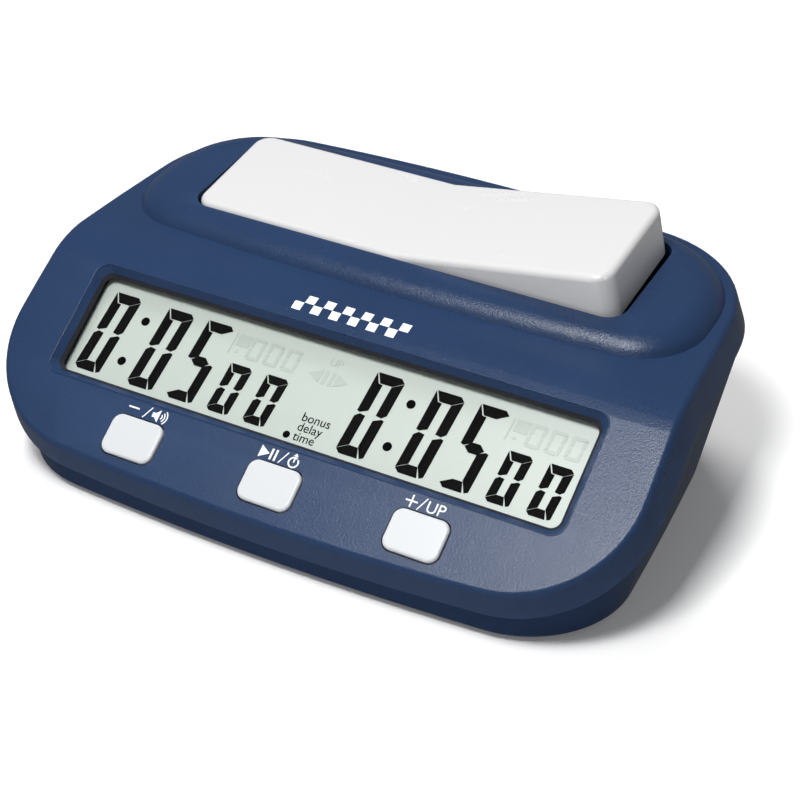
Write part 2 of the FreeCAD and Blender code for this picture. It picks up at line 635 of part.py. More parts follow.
def build_case_hardware():
    base = size("foot_height")
    nodes = [rod("foot_" + name, "sizes.foot_diameter", "sizes.foot_height", on(LEVEL, x, y, 0))
             for name, (x, y) in FEET.items()]
    screws = []
    for i, (x, y, z) in enumerate(BOSSES):
        seat = z - HEAD_SEAT
        foot = seat - size("screw_head_height")
        head = rod("screw_head_%d" % i, "sizes.screw_head", "sizes.screw_head_height",
                   on(LEVEL, x, y, foot))
        shank = rod("screw_shank_%d" % i, "sizes.screw_diameter", str(HEAD_SEAT + SCREW_BITE),
                    on(LEVEL, x, y, seat))
        slots = [box("screw_slot_%d_%d" % (i, turn), "sizes.recess_length", "sizes.recess_width",
                     "1", on(LEVEL, x, y, foot - 0.2, Rotation(Vector(0, 0, 1), turn)))
                 for turn in (0, 90)]
        screws.append(cut("case_screw_%d" % i, join("screw_%d" % i, [head, shank]), slots))
    nodes.append(group("case_screws", screws))

    cover_y = (size("door_front") + size("door_rear")) / 2 + size("door_fit")
    long_side = "sizes.door_rear - sizes.door_front - sizes.door_fit * 2"
    lip = box("door_plate", "2 * sizes.door_half", long_side, "sizes.door_lip + sizes.fit",
              on(LEVEL, 0, cover_y, base))
    tongue = box("door_tongues", "2 * (sizes.door_half + sizes.door_tongue)", long_side,
                 "sizes.door_thickness - sizes.door_lip", on(LEVEL, 0, cover_y, base + size("door_lip")))
    grips = [box("door_grip_%d" % i, "sizes.door_grip_length", "sizes.door_grip_width", "0.8",
                 on(LEVEL, 0, size("door_grip_y") + size("door_grip_pitch") * i, base - 0.4))
             for i in range(4)]
    nodes.append(cut("battery_cover", join("battery_cover_raw", [lip, tongue]), grips))
    return nodes


def build_battery():
    y = size("cell_y")
    z = size("cell_z")
    wall = size("bay_half")
    tab = size("contact_thickness")
    cell_rear = -size("cell_length") / 2 + size("nub_height")
    cell_front = size("cell_length") / 2 + size("nub_height")
    can = rod("cell_can", "sizes.cell_diameter", "sizes.cell_length", on(LEVEL, cell_rear, y, z, ALONG_X))
    nub = rod("cell_nub", "sizes.nub_diameter", "sizes.nub_height",
              on(LEVEL, cell_front, y, z, ALONG_X))
    cell = join("battery_cell", [can, nub])

    nub_face = cell_front + size("nub_height")
    plate_tab = box("contact_tab", "sizes.contact_thickness", "sizes.contact_width",
                    "sizes.contact_height", on(LEVEL, wall - 0.3, y, z - size("contact_height") / 2))
    dimple = rod("contact_dimple", "4", str(wall - 0.3 - tab / 2 - nub_face),
                 on(LEVEL, nub_face, y, z, ALONG_X))
    plate_part = join("battery_contact_plate", [plate_tab, dimple])

    spring_tab = box("spring_tab", "sizes.contact_thickness", "sizes.contact_width",
                     "sizes.contact_height", on(LEVEL, 0.3 - wall, y, z - size("contact_height") / 2))
    spring_foot = 0.3 + tab / 2 - wall
    reach = cell_rear - spring_foot
    radius = size("spring_radius")
    wire = size("spring_wire")
    helix = Part.makeHelix(reach / size("spring_turns"), reach - 2 * wire - 0.1, radius)
    start = Part.Wire([Part.Circle(Vector(radius, 0, 0), Vector(0, 1, 0.12), wire).toShape()])
    coil = Part.Wire(helix.Edges).makePipeShell([start], True, True)
    coil.Placement = on(LEVEL, spring_foot + wire + size("fit"), y, z, ALONG_X)
    spring = group("battery_contact_spring", [spring_tab, solid("spring_coil", coil)])
    return [cell, plate_part, spring]


# ---------------------------------------------------------------- display and main board
def build_display():
    """From the top down: lens, frame, cell, backing and the two strips down to the board."""
    fit = size("fit")
    board = -size("board_depth")
    lens_top = -size("wall") - fit
    frame_top = lens_top - size("lens_thickness") - fit
    glass_top = frame_top - size("frame_lip") - fit
    glass_bottom = glass_top - size("glass_thickness")
    lens = plate("display_lens", "sizes.lens_width", "sizes.lens_height", "sizes.lens_corner",
                 "sizes.lens_thickness", on(PANEL, 0, 0, lens_top - size("lens_thickness")))
    rim = plate("frame_rim", "sizes.frame_width", "sizes.frame_height", "sizes.frame_corner",
                str(frame_top - board - 0.02), on(PANEL, 0, 0, board + 0.02))
    sight = plate("frame_sight", "sizes.sight_width", "sizes.sight_height", "sizes.sight_corner",
                  "sizes.board_depth + 1", on(PANEL, 0, 0, board - 1))
    room = plate("frame_room", "sizes.room_width", "sizes.room_height", "sizes.glass_corner",
                 str(frame_top - size("frame_lip") - board + 1), on(PANEL, 0, 0, board - 1))
    frame = cut("display_frame", rim, [sight, room])
    glass = plate("display_glass", "sizes.glass_width", "sizes.glass_height", "sizes.glass_corner",
                  "sizes.glass_thickness", on(PANEL, 0, 0, glass_bottom))
    backing = plate("display_reflector", "sizes.backing_width", "sizes.backing_height",
                    "sizes.backing_corner", "sizes.backing_thickness",
                    on(PANEL, 0, 0, glass_bottom - size("backing_thickness")))
    strips = [box("contact_strip_" + name, "sizes.strip_length", "sizes.strip_width",
                  str(glass_bottom - board), on(PANEL, 0, side * size("strip_run"), board))
              for name, side in (("lower", -1), ("upper", 1))]
    return [lens, frame, glass, backing] + strips


def build_boards():
    """The main board, its screws, and the two parts on its rear face."""
    run = size("button_run")
    back = -size("board_depth") - size("board_thickness")
    raw = plate("main_board_blank", "sizes.board_width", "sizes.board_height", "sizes.board_corner",
                "sizes.board_thickness", on(PANEL, 0, size("board_run"), back))
    holes = [rod("board_hole_%d" % i, "sizes.board_hole", "4", on(PANEL, u, run, back - 1.4))
             for i, u in enumerate(POSTS)]
    board = cut("main_board", raw, holes)
    screws = []
    for i, u in enumerate(POSTS):
        head = rod("board_screw_head_%d" % i, "sizes.board_screw_head", "sizes.board_screw_head_height",
                   on(PANEL, u, run, back - size("board_screw_head_height")))
        shank = rod("board_screw_shank_%d" % i, "sizes.board_screw", "sizes.board_thickness + 4.5",
                    on(PANEL, u, run, back))
        screws.append(join("board_screw_%d" % i, [head, shank]))
    chip = box("controller_chip", "sizes.chip_size", "sizes.chip_size", "sizes.chip_height",
               on(PANEL, size("chip_u"), size("chip_v"), back - size("chip_height")))
    crystal = rod("clock_crystal", "sizes.crystal_diameter", "sizes.crystal_length",
                  on(PANEL, size("crystal_u"), size("crystal_v"),
                     back - size("crystal_diameter") / 2, ALONG_X))
    return [board, group("board_screws", screws), chip, crystal]


def build_buttons():
    nodes = []
    depth = size("board_depth")
    flange_top = -size("wall") - size("fit")
    stem_top = flange_top - size("flange_thickness")
    for name, u in BUTTONS.items():
        spot = (u, size("button_run"))
        body = plate("cap_body_" + name, "sizes.button_width", "sizes.button_height", "sizes.button_corner",
                     str(size("button_proud") - flange_top), on(PANEL, *spot, flange_top),
                     "sizes.button_round")
        flange = plate("cap_flange_" + name, "sizes.button_width + 2 * sizes.flange_margin",
                       "sizes.button_height + 2 * sizes.flange_margin", "sizes.button_corner",
                       "sizes.flange_thickness", on(PANEL, *spot, stem_top))
        stem = rod("cap_stem_" + name, "sizes.stem_diameter", str(size("plunger_top") + stem_top),
                   on(PANEL, *spot, -size("plunger_top")))
        nodes.append(join("button_" + name, [body, flange, stem]))
        housing = box("switch_block_" + name, "sizes.switch_size", "sizes.switch_size",
                      "sizes.switch_height", on(PANEL, *spot, -depth))
        bore = rod("switch_bore_" + name, "sizes.plunger_diameter + 2 * sizes.plunger_fit", "3",
                   on(PANEL, *spot, -depth + 1.0))
        nodes.append(cut("key_switch_" + name, housing, bore))
        nodes.append(rod("key_plunger_" + name, "sizes.plunger_diameter", "sizes.plunger_length",
                         on(PANEL, *spot, -size("plunger_top") - size("plunger_length"))))
    return nodes


# ---------------------------------------------------------------- rocker
def build_rocker():
    """A shallow V lever, drawn level and set down on its left side about the pivot."""
    rise = "sizes.rocker_half * tan(sizes.rocker_angle)"
    bend = "(sizes.pivot_drop - sizes.rocker_sink)"
    skirt = "sizes.rocker_skirt"
    tip = "(sizes.rocker_half - 0.6)"
    outer = profile_bar("rocker_block", [
        ("0", bend), (tip, "%s + %s" % (bend, rise)),
        ("sizes.rocker_half", "%s + %s - %s" % (bend, rise, skirt)),
        ("0", "%s - %s - 1" % (bend, skirt)),
        ("-sizes.rocker_half", "%s + %s - %s" % (bend, rise, skirt)),
        ("-" + tip, "%s + %s" % (bend, rise))], "sizes.rocker_depth", Placement())
    pad = outer.Tip
    upright = ["Edge%d" % (i + 1) for i, e in enumerate(pad.Shape.Edges)
               if abs(abs(e.CenterOfMass.x) - size("rocker_half")) < 1.0 and abs(e.CenterOfMass.y) > 1]
    corner = outer.newObject("PartDesign::Fillet", "rocker_corners")
    corner.Base = (pad, upright)
    bind(corner, Radius="sizes.rocker_corner")
    doc.recompute()
    top = ["Face%d" % (i + 1) for i, f in enumerate(corner.Shape.Faces)
           if f.normalAt(0, 0).z > 0.9 and f.CenterOfMass.z > 4]
    soften = outer.newObject("PartDesign::Fillet", "rocker_top_edges")
    edges = []
    for face_name in top:
        for edge in corner.Shape.getElement(face_name).Edges:
            if abs(edge.CenterOfMass.x) > 1e-3:
                edges += ["Edge%d" % (i + 1) for i, e in enumerate(corner.Shape.Edges) if e.isSame(edge)]
    soften.Base = (corner, edges)
    bind(soften, Radius="sizes.rocker_round")
    outer.Tip = soften

    wall = "sizes.rocker_wall"
    inner_half = "(sizes.rocker_half - %s - 0.4)" % wall
    ceiling = "(%s - %s)" % (bend, wall)
    inner_rise = "%s * tan(sizes.rocker_angle)" % inner_half
    rooms = []
    for side, sign in (("left", "-"), ("right", "")):
        rooms.append(profile_bar("rocker_room_" + side, [
            (sign + "5", "%s + 5 * tan(sizes.rocker_angle)" % ceiling),
            (sign + inner_half, "%s + %s" % (ceiling, inner_rise)),
            (sign + inner_half, "-12"), (sign + "5", "-12")],
            "sizes.rocker_depth - 2 * %s" % wall, Placement()))
    shell = cut("rocker_shell", outer, rooms)
    holders = []
    seats = []
    spots = {name: magnet_spot(side) for name, side in SIDES.items()}
    for name, spot in spots.items():
        holders.append(rod("magnet_post_" + name,
                           "sizes.magnet_diameter + 2 * sizes.magnet_post_wall",
                           "sizes.rocker_skirt - 1.5", spot))
        seats.append(rod("magnet_seat_" + name, "sizes.magnet_diameter + 0.06",
                         "sizes.magnet_height + 0.2", on(spot, 0, 0, -0.1)))
    bore = rod("rocker_bore", "sizes.pin_diameter + 2 * sizes.pin_fit", "60",
               on(LEVEL, 0, -30, 0, ALONG_Y))
    lever = cut("rocker_lever", join("rocker_lever_raw", [shell] + holders), seats + [bore])
    lever.Placement = REST
    magnets = [rod("rocker_magnet_" + name, "sizes.magnet_diameter", "sizes.magnet_height",
                   on(REST.multiply(spot), 0, 0, size("fit")))
               for name, spot in spots.items()]
    return [lever] + magnets


def magnet_spot(side):
    """Foot of a magnet's post, square to its half of the rocker, in the rocker's own frame."""
    rise = size("magnet_reach") * math.tan(math.radians(size("rocker_angle")))
    under = size("pivot_drop") - size("rocker_sink") - size("rocker_skirt")
    return Placement(Vector(side * size("magnet_reach"), 0, under + rise + 0.2),
                     Rotation(Vector(0, 1, 0), -side * size("rocker_angle")))


def build_rocker_mount():
    """The pin with its two clips, the latch plates, and the sensor board under the well."""
    half = size("pin_length") / 2
    groove = half - size("groove_inset")
    pin_raw = rod("pin_bar", "sizes.pin_diameter", "sizes.pin_length", on(PIVOT, 0, -half, 0, ALONG_Y))
    grooves = []
    clips = []
    for tag, side in (("front", -1), ("rear", 1)):
        run = side * groove
        spot = on(PIVOT, 0, run - size("groove_width") / 2, 0, ALONG_Y)
        grooves.append(cut("pin_groove_" + tag,
                           rod("groove_ring_" + tag, "2 * sizes.pin_diameter", "sizes.groove_width", spot),
                           rod("groove_core_" + tag, "sizes.groove_core", "sizes.groove_width", spot)))
        disc = rod("clip_disc_" + tag, "sizes.clip_diameter", "sizes.clip_thickness",
                   on(PIVOT, 0, run - size("clip_thickness") / 2, 0, ALONG_Y))
        core = rod("clip_core_" + tag, "sizes.clip_core", "2", on(PIVOT, 0, run - 1, 0, ALONG_Y))
        mouth = box("clip_mouth_" + tag, "2", "4", "8", on(PIVOT, 0, run, -8))
        clips.append(cut("pin_clip_" + tag, disc, [core, mouth]))
    nodes = [cut("rocker_pin", pin_raw, grooves), group("pin_clips", clips)]
    floor = -size("well_floor")
    under = floor - size("well_wall")
    reach = size("magnet_reach")
    for name, side in SIDES.items():
        nodes.append(rod("latch_plate_" + name, "sizes.latch_diameter", "sizes.latch_thickness",
                         on(HOOD, side * reach, 0, floor - size("latch_thickness") - 0.03)))
    board_top = under - size("sensor_chip_height") - 0.1
    nodes.append(plate("sensor_board", "sizes.sensor_length", "sizes.sensor_width",
                       "sizes.sensor_corner", "sizes.sensor_thickness",
                       on(HOOD, 0, 0, board_top - size("sensor_thickness"))))
    for name, side in SIDES.items():
        nodes.append(box("rocker_sensor_" + name, "sizes.sensor_chip_length",
                         "sizes.sensor_chip_width", "sizes.sensor_chip_height",
                         on(HOOD, side * reach, 0, board_top + 0.02)))
    return nodes


def build_base_devices():
    """The sounder and the power switch, both on the floor of the base."""
    base = size("foot_height")
    floor_top = base + size("floor")
    knob_x = POWER[0] - size("knob_offset")
    sounder = rod("sounder", "sizes.sounder_diameter", "sizes.sounder_height",
                  on(LEVEL, *SOUNDER, base + 1.25))
    block = box("power_block", "sizes.power_length", "sizes.power_width", "sizes.power_height",
                on(LEVEL, *POWER, floor_top + size("fit")))
    room = box("power_room", "8", "sizes.knob_width + 0.4", "3", on(LEVEL, *POWER, floor_top - 1))
    switch = cut("power_switch_body", block, room)
    slider = box("power_slider", "sizes.knob_length", "sizes.knob_width", "1.3",
                 on(LEVEL, knob_x, POWER[1], floor_top + 0.5))
    thumb = box("power_thumb", "sizes.knob_length", "sizes.knob_width", "2.4",
                on(LEVEL, knob_x, POWER[1], base + 0.2))
    ridges = [box("power_ridge_%d" % i, "sizes.ridge_width", "5", "0.5",
                  on(LEVEL, knob_x + i, POWER[1], base)) for i in (-1, 0, 1)]
    knob = cut("power_switch_knob", join("power_knob_raw", [slider, thumb]), ridges)
    return [sounder, switch, knob]


# ---------------------------------------------------------------- wiring
def wire_along(points, diameter):
    """A round wire: straight runs joined by tangent arcs."""
    edges = []
    start = points[0]
    for before, corner, after in zip(points, points[1:], points[2:]):
        inward = before.sub(corner)
        outward = after.sub(corner)
        shorter = min(inward.Length, outward.Length)
        inward.normalize()
        outward.normalize()
        half_turn = (math.pi - inward.getAngle(outward)) / 2
        run = 0.45 * shorter
        radius = run / math.tan(half_turn)
        enter = corner.add(Vector(inward).multiply(run))
        leave = corner.add(Vector(outward).multiply(run))
        toward = Vector(inward).add(outward).normalize()
        middle = corner.add(toward.multiply(radius / math.cos(half_turn) - radius))
        edges += [Part.LineSegment(start, enter).toShape(), Part.Arc(enter, middle, leave).toShape()]
        start = leave
    edges.append(Part.LineSegment(start, points[-1]).toShape())
    path = Part.Wire(edges)
    first = points[1].sub(points[0])
    circle = Part.Wire([Part.Circle(points[0], first, diameter / 2).toShape()])
    return path.makePipeShell([circle], True, False)


def build_wiring():
    """Leads from the battery bay's front wall to the back of the main board."""
    back = -size("board_depth") - size("board_thickness")
    start_y = size("bay_front") - size("bay_wall")
    level = 17.0
    stub = 8.0
    wires = []
    for name, x in (("lead_negative", -27.0), ("lead_positive", 27.0)):
        end = PANEL.multVec(Vector(x, stub, back))
        out = PANEL.multVec(Vector(x, stub, back - stub))
        points = [Vector(x, start_y, level), Vector(x, start_y - stub, level), out, end]
        wires.append(solid(name, wire_along(points, size("lead_diameter"))))
    return wires


# ---------------------------------------------------------------- assembly and export
def main():
    """Build every piece, check it, and only then write the STEP files."""
    nodes = [build_top_shell(), build_bottom_shell()]
    for section in (build_case_hardware, build_battery, build_display, build_boards, build_buttons,
                    build_rocker, build_rocker_mount, build_base_devices, build_wiring):
        nodes += section()
    doc.recompute()
    for item in doc.Objects:
        if "Invalid" in item.State or "Error" in item.State:
            raise RuntimeError("%s failed to compute" % item.Name)
    for node in nodes:
        node.Label = node.Name
        shape = node.Shape
        if shape.isNull() or not shape.isValid():
            raise RuntimeError("%s has no valid shape" % node.Label)
        print("%-24s %8.1f mm3  solids %d" % (node.Label, shape.Volume, len(shape.Solids)))
    os.makedirs("parts", exist_ok=True)
    for node in nodes:
        node.Shape.exportStep("parts/%s.step" % node.Label)


main()
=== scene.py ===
# Digital chess clock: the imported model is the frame, and the shown surfaces are built around it.
import math
import json

import bpy
import bmesh
import numpy as np
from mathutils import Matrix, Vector

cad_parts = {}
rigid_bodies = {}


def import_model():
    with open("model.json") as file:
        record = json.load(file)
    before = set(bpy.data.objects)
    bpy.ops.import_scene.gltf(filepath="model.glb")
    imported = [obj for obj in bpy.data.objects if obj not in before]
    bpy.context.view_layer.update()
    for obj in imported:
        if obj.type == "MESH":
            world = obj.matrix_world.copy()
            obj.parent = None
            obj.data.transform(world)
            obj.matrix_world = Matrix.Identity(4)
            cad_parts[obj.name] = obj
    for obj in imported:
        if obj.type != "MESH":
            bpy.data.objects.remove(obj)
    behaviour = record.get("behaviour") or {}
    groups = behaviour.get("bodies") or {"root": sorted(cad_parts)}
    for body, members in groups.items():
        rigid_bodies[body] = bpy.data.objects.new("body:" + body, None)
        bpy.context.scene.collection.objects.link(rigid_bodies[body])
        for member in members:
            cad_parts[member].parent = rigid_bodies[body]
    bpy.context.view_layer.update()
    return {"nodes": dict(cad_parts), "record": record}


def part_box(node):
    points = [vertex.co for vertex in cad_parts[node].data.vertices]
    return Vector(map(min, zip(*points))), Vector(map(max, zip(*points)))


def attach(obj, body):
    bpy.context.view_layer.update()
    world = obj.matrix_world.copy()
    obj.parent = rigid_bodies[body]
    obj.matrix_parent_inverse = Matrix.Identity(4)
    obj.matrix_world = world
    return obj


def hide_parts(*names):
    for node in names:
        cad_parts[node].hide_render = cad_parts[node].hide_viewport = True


for leftover in list(bpy.data.objects):
    bpy.data.objects.remove(leftover)
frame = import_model()
print("frame loaded:", len(frame["nodes"]), "nodes")

mm = 0.001


# Camera, floor and light.
view = {"azimuth": 29.122, "elevation": 34.0, "distance": 443.3, "lens": 90.89,
        "target": (0.0, 8.37, 7.0)}


def placeCamera(v):
    a, e = math.radians(v["azimuth"]), math.radians(v["elevation"])
    back = Vector((math.sin(a) * math.cos(e), -math.cos(a) * math.cos(e), math.sin(e)))
    lens = bpy.data.cameras.new("studioCamera")
    lens.lens = v["lens"]
    lens.sensor_width = 36.0
    lens.clip_start = 0.01
    lens.clip_end = 20.0
    camera = bpy.data.objects.new("studioCamera", lens)
    camera.location = (Vector(v["target"]) + back * v["distance"]) * mm
    camera.rotation_euler = back.to_track_quat("Z", "Y").to_euler()
    bpy.context.collection.objects.link(camera)
    bpy.context.scene.camera = camera


# Lamps in metres and watts; glossy says whether reflections show the lamp. The floor is left out
# of reflections so that the casing's walls keep their own colour.
studio = {"floorSize": 6.0, "floorTone": 0.95, "floorRough": 0.75, "floorGlow": 0.10,
          "world": 0.17, "aim": (0.0, 0.0, 0.02),
          "lamps": {"sheenSoftbox": dict(place=(0.0, -0.20, 0.43), size=(0.13, 0.13), power=1.9,
                                        glossy=True),
                    "overheadKey": dict(place=(-0.30, 0.44, 0.95), size=(0.40, 0.40), power=6.2,
                                       glossy=False),
                    "leftFill": dict(place=(-0.60, -0.60, 0.70), size=(0.5, 0.5), power=1.0,
                                    glossy=False)}}


def setStudio(s):
    world = bpy.data.worlds.new("studioWorld")
    world.use_nodes = True
    backdrop = world.node_tree.nodes["Background"]
    backdrop.inputs["Color"].default_value = (1.0, 1.0, 1.0, 1.0)
    backdrop.inputs["Strength"].default_value = s["world"]
    bpy.context.scene.world = world
    bpy.context.scene.view_settings.view_transform = "Standard"
    half = s["floorSize"] / 2
    mesh = bpy.data.meshes.new("floor")
    mesh.from_pydata([(-half, -half, 0), (half, -half, 0), (half, half, 0), (-half, half, 0)],
                     [], [(0, 1, 2, 3)])
    floor = bpy.data.objects.new("floor", mesh)
    bpy.context.collection.objects.link(floor)
    paint = bpy.data.materials.new("floorPaint")
    paint.use_nodes = True
    shader = paint.node_tree.nodes["Principled BSDF"]
    shader.inputs["Base Color"].default_value = (s["floorTone"],) * 3 + (1.0,)
    shader.inputs["Roughness"].default_value = s["floorRough"]
    shader.inputs["Emission Color"].default_value = (1.0, 1.0, 1.0, 1)
    shader.inputs["Emission Strength"].default_value = s["floorGlow"]
    mesh.materials.append(paint)
    floor.visible_glossy = False
    for name, values in s["lamps"].items():
        lamp = bpy.data.lights.new(name, "AREA")
        lamp.shape = "RECTANGLE"
        lamp.size, lamp.size_y = values["size"]
        lamp.energy = values["power"]
        holder = bpy.data.objects.new(name, lamp)
        holder.location = values["place"]
        holder.visible_glossy = values["glossy"]
        away = Vector(values["place"]) - Vector(s["aim"])
        holder.rotation_euler = away.to_track_quat("Z", "Y").to_euler()
        bpy.context.collection.objects.link(holder)


placeCamera(view)
setStudio(studio)
print("camera, floor and lights placed")


# Shader groups.
def newGroup(name, inputs, outputs):
    group = bpy.data.node_groups.new(name, "ShaderNodeTree")
    for label, value in inputs:
        socket = group.interface.new_socket(label, in_out="INPUT", socket_type="NodeSocketFloat")
        socket.default_value = value
    for label, kind in outputs:
        group.interface.new_socket(label, in_out="OUTPUT", socket_type=kind)
    nodes = group.nodes
    return group, nodes.new("NodeGroupInput"), nodes.new("NodeGroupOutput")


def join(tree, source, target):
    tree.links.new(source, target)


def mathNode(tree, operation, first, second):
    node = tree.nodes.new("ShaderNodeMath")
    node.operation = operation
    for socket, value in zip(node.inputs, (first, second)):
        if isinstance(value, (int, float)):
            socket.default_value = value
        else:
            tree.links.new(value, socket)
    return node.outputs[0]


def mapRange(tree, value, low, high):
    node = tree.nodes.new("ShaderNodeMapRange")
    tree.links.new(value, node.inputs["Value"])
    for label, end in (("To Min", low), ("To Max", high)):
        if isinstance(end, (int, float)):
            node.inputs[label].default_value = end
        else:
            tree.links.new(end, node.inputs[label])
    return node.outputs["Result"]


# Spark-eroded grain: fine noise is the height; fine noise with some coarse noise added sets the
# roughness and the tone.
def buildGrain():
    group, source, sink = newGroup(
        "mouldGrain",
        [("Scale", 1500.0), ("Rough Low", 0.4), ("Rough High", 0.5), ("Tone Low", 0.94),
         ("Tone High", 1.06)],
        [("Height", "NodeSocketFloat"), ("Roughness", "NodeSocketFloat"),
         ("Tone", "NodeSocketFloat")])
    place = group.nodes.new("ShaderNodeTexCoord")
    fine = group.nodes.new("ShaderNodeTexNoise")
    fine.inputs["Detail"].default_value = 3.0
    fine.inputs["Roughness"].default_value = 0.65
    coarse = group.nodes.new("ShaderNodeTexNoise")
    coarse.inputs["Scale"].default_value = 38.0
    coarse.inputs["Detail"].default_value = 4.0
    join(group, place.outputs["Object"], fine.inputs["Vector"])
    join(group, place.outputs["Object"], coarse.inputs["Vector"])
    join(group, source.outputs["Scale"], fine.inputs["Scale"])
    join(group, fine.outputs["Fac"], sink.inputs["Height"])
    mixed = mathNode(group, "ADD", mathNode(group, "MULTIPLY", fine.outputs["Fac"], 0.6),
                     mathNode(group, "MULTIPLY", coarse.outputs["Fac"], 0.4))
    join(group, mapRange(group, mixed, source.outputs["Rough Low"], source.outputs["Rough High"]),
         sink.inputs["Roughness"])
    join(group, mapRange(group, mixed, source.outputs["Tone Low"], source.outputs["Tone High"]),
         sink.inputs["Tone"])
    return group


# Handling marks: stretched noise squared, so that only its peaks show as faint polished smears.
def buildSmears():
    group, source, sink = newGroup("handSmears", [("Scale", 40.0), ("Amount", 0.08)],
                                   [("Shift", "NodeSocketFloat")])
    place = group.nodes.new("ShaderNodeTexCoord")
    turn = group.nodes.new("ShaderNodeMapping")
    turn.inputs["Scale"].default_value = (1.0, 2.3, 1.6)
    turn.inputs["Rotation"].default_value = (0.3, 0.2, 0.7)
    smear = group.nodes.new("ShaderNodeTexNoise")
    smear.inputs["Detail"].default_value = 5.0
    smear.inputs["Distortion"].default_value = 0.8
    join(group, place.outputs["Object"], turn.inputs["Vector"])
    join(group, turn.outputs["Vector"], smear.inputs["Vector"])
    join(group, source.outputs["Scale"], smear.inputs["Scale"])
    peak = mathNode(group, "POWER", smear.outputs["Fac"], 2.0)
    join(group, mathNode(group, "MULTIPLY", peak, source.outputs["Amount"]), sink.inputs["Shift"])
    return group


# Edge highlight and wear: how far the surface bulges at a point, stretched so that only sharp
# ridges count.
# The ridges get a lighter colour, which is a painted edge highlight as well as rubbed wear.
def buildEdgeWearAndHighlight():
    group, source, sink = newGroup("edgeWearAndHighlight", [("Low", 0.52), ("High", 0.62)],
                                   [("Mask", "NodeSocketFloat")])
    shape = group.nodes.new("ShaderNodeNewGeometry")
    ridge = group.nodes.new("ShaderNodeMapRange")
    join(group, shape.outputs["Pointiness"], ridge.inputs["Value"])
    join(group, source.outputs["Low"], ridge.inputs["From Min"])
    join(group, source.outputs["High"], ridge.inputs["From Max"])
    join(group, ridge.outputs["Result"], sink.inputs["Mask"])
    return group


mouldGrain = buildGrain()
handSmears = buildSmears()
edgeWearAndHighlight = buildEdgeWearAndHighlight()
print("shader groups built")


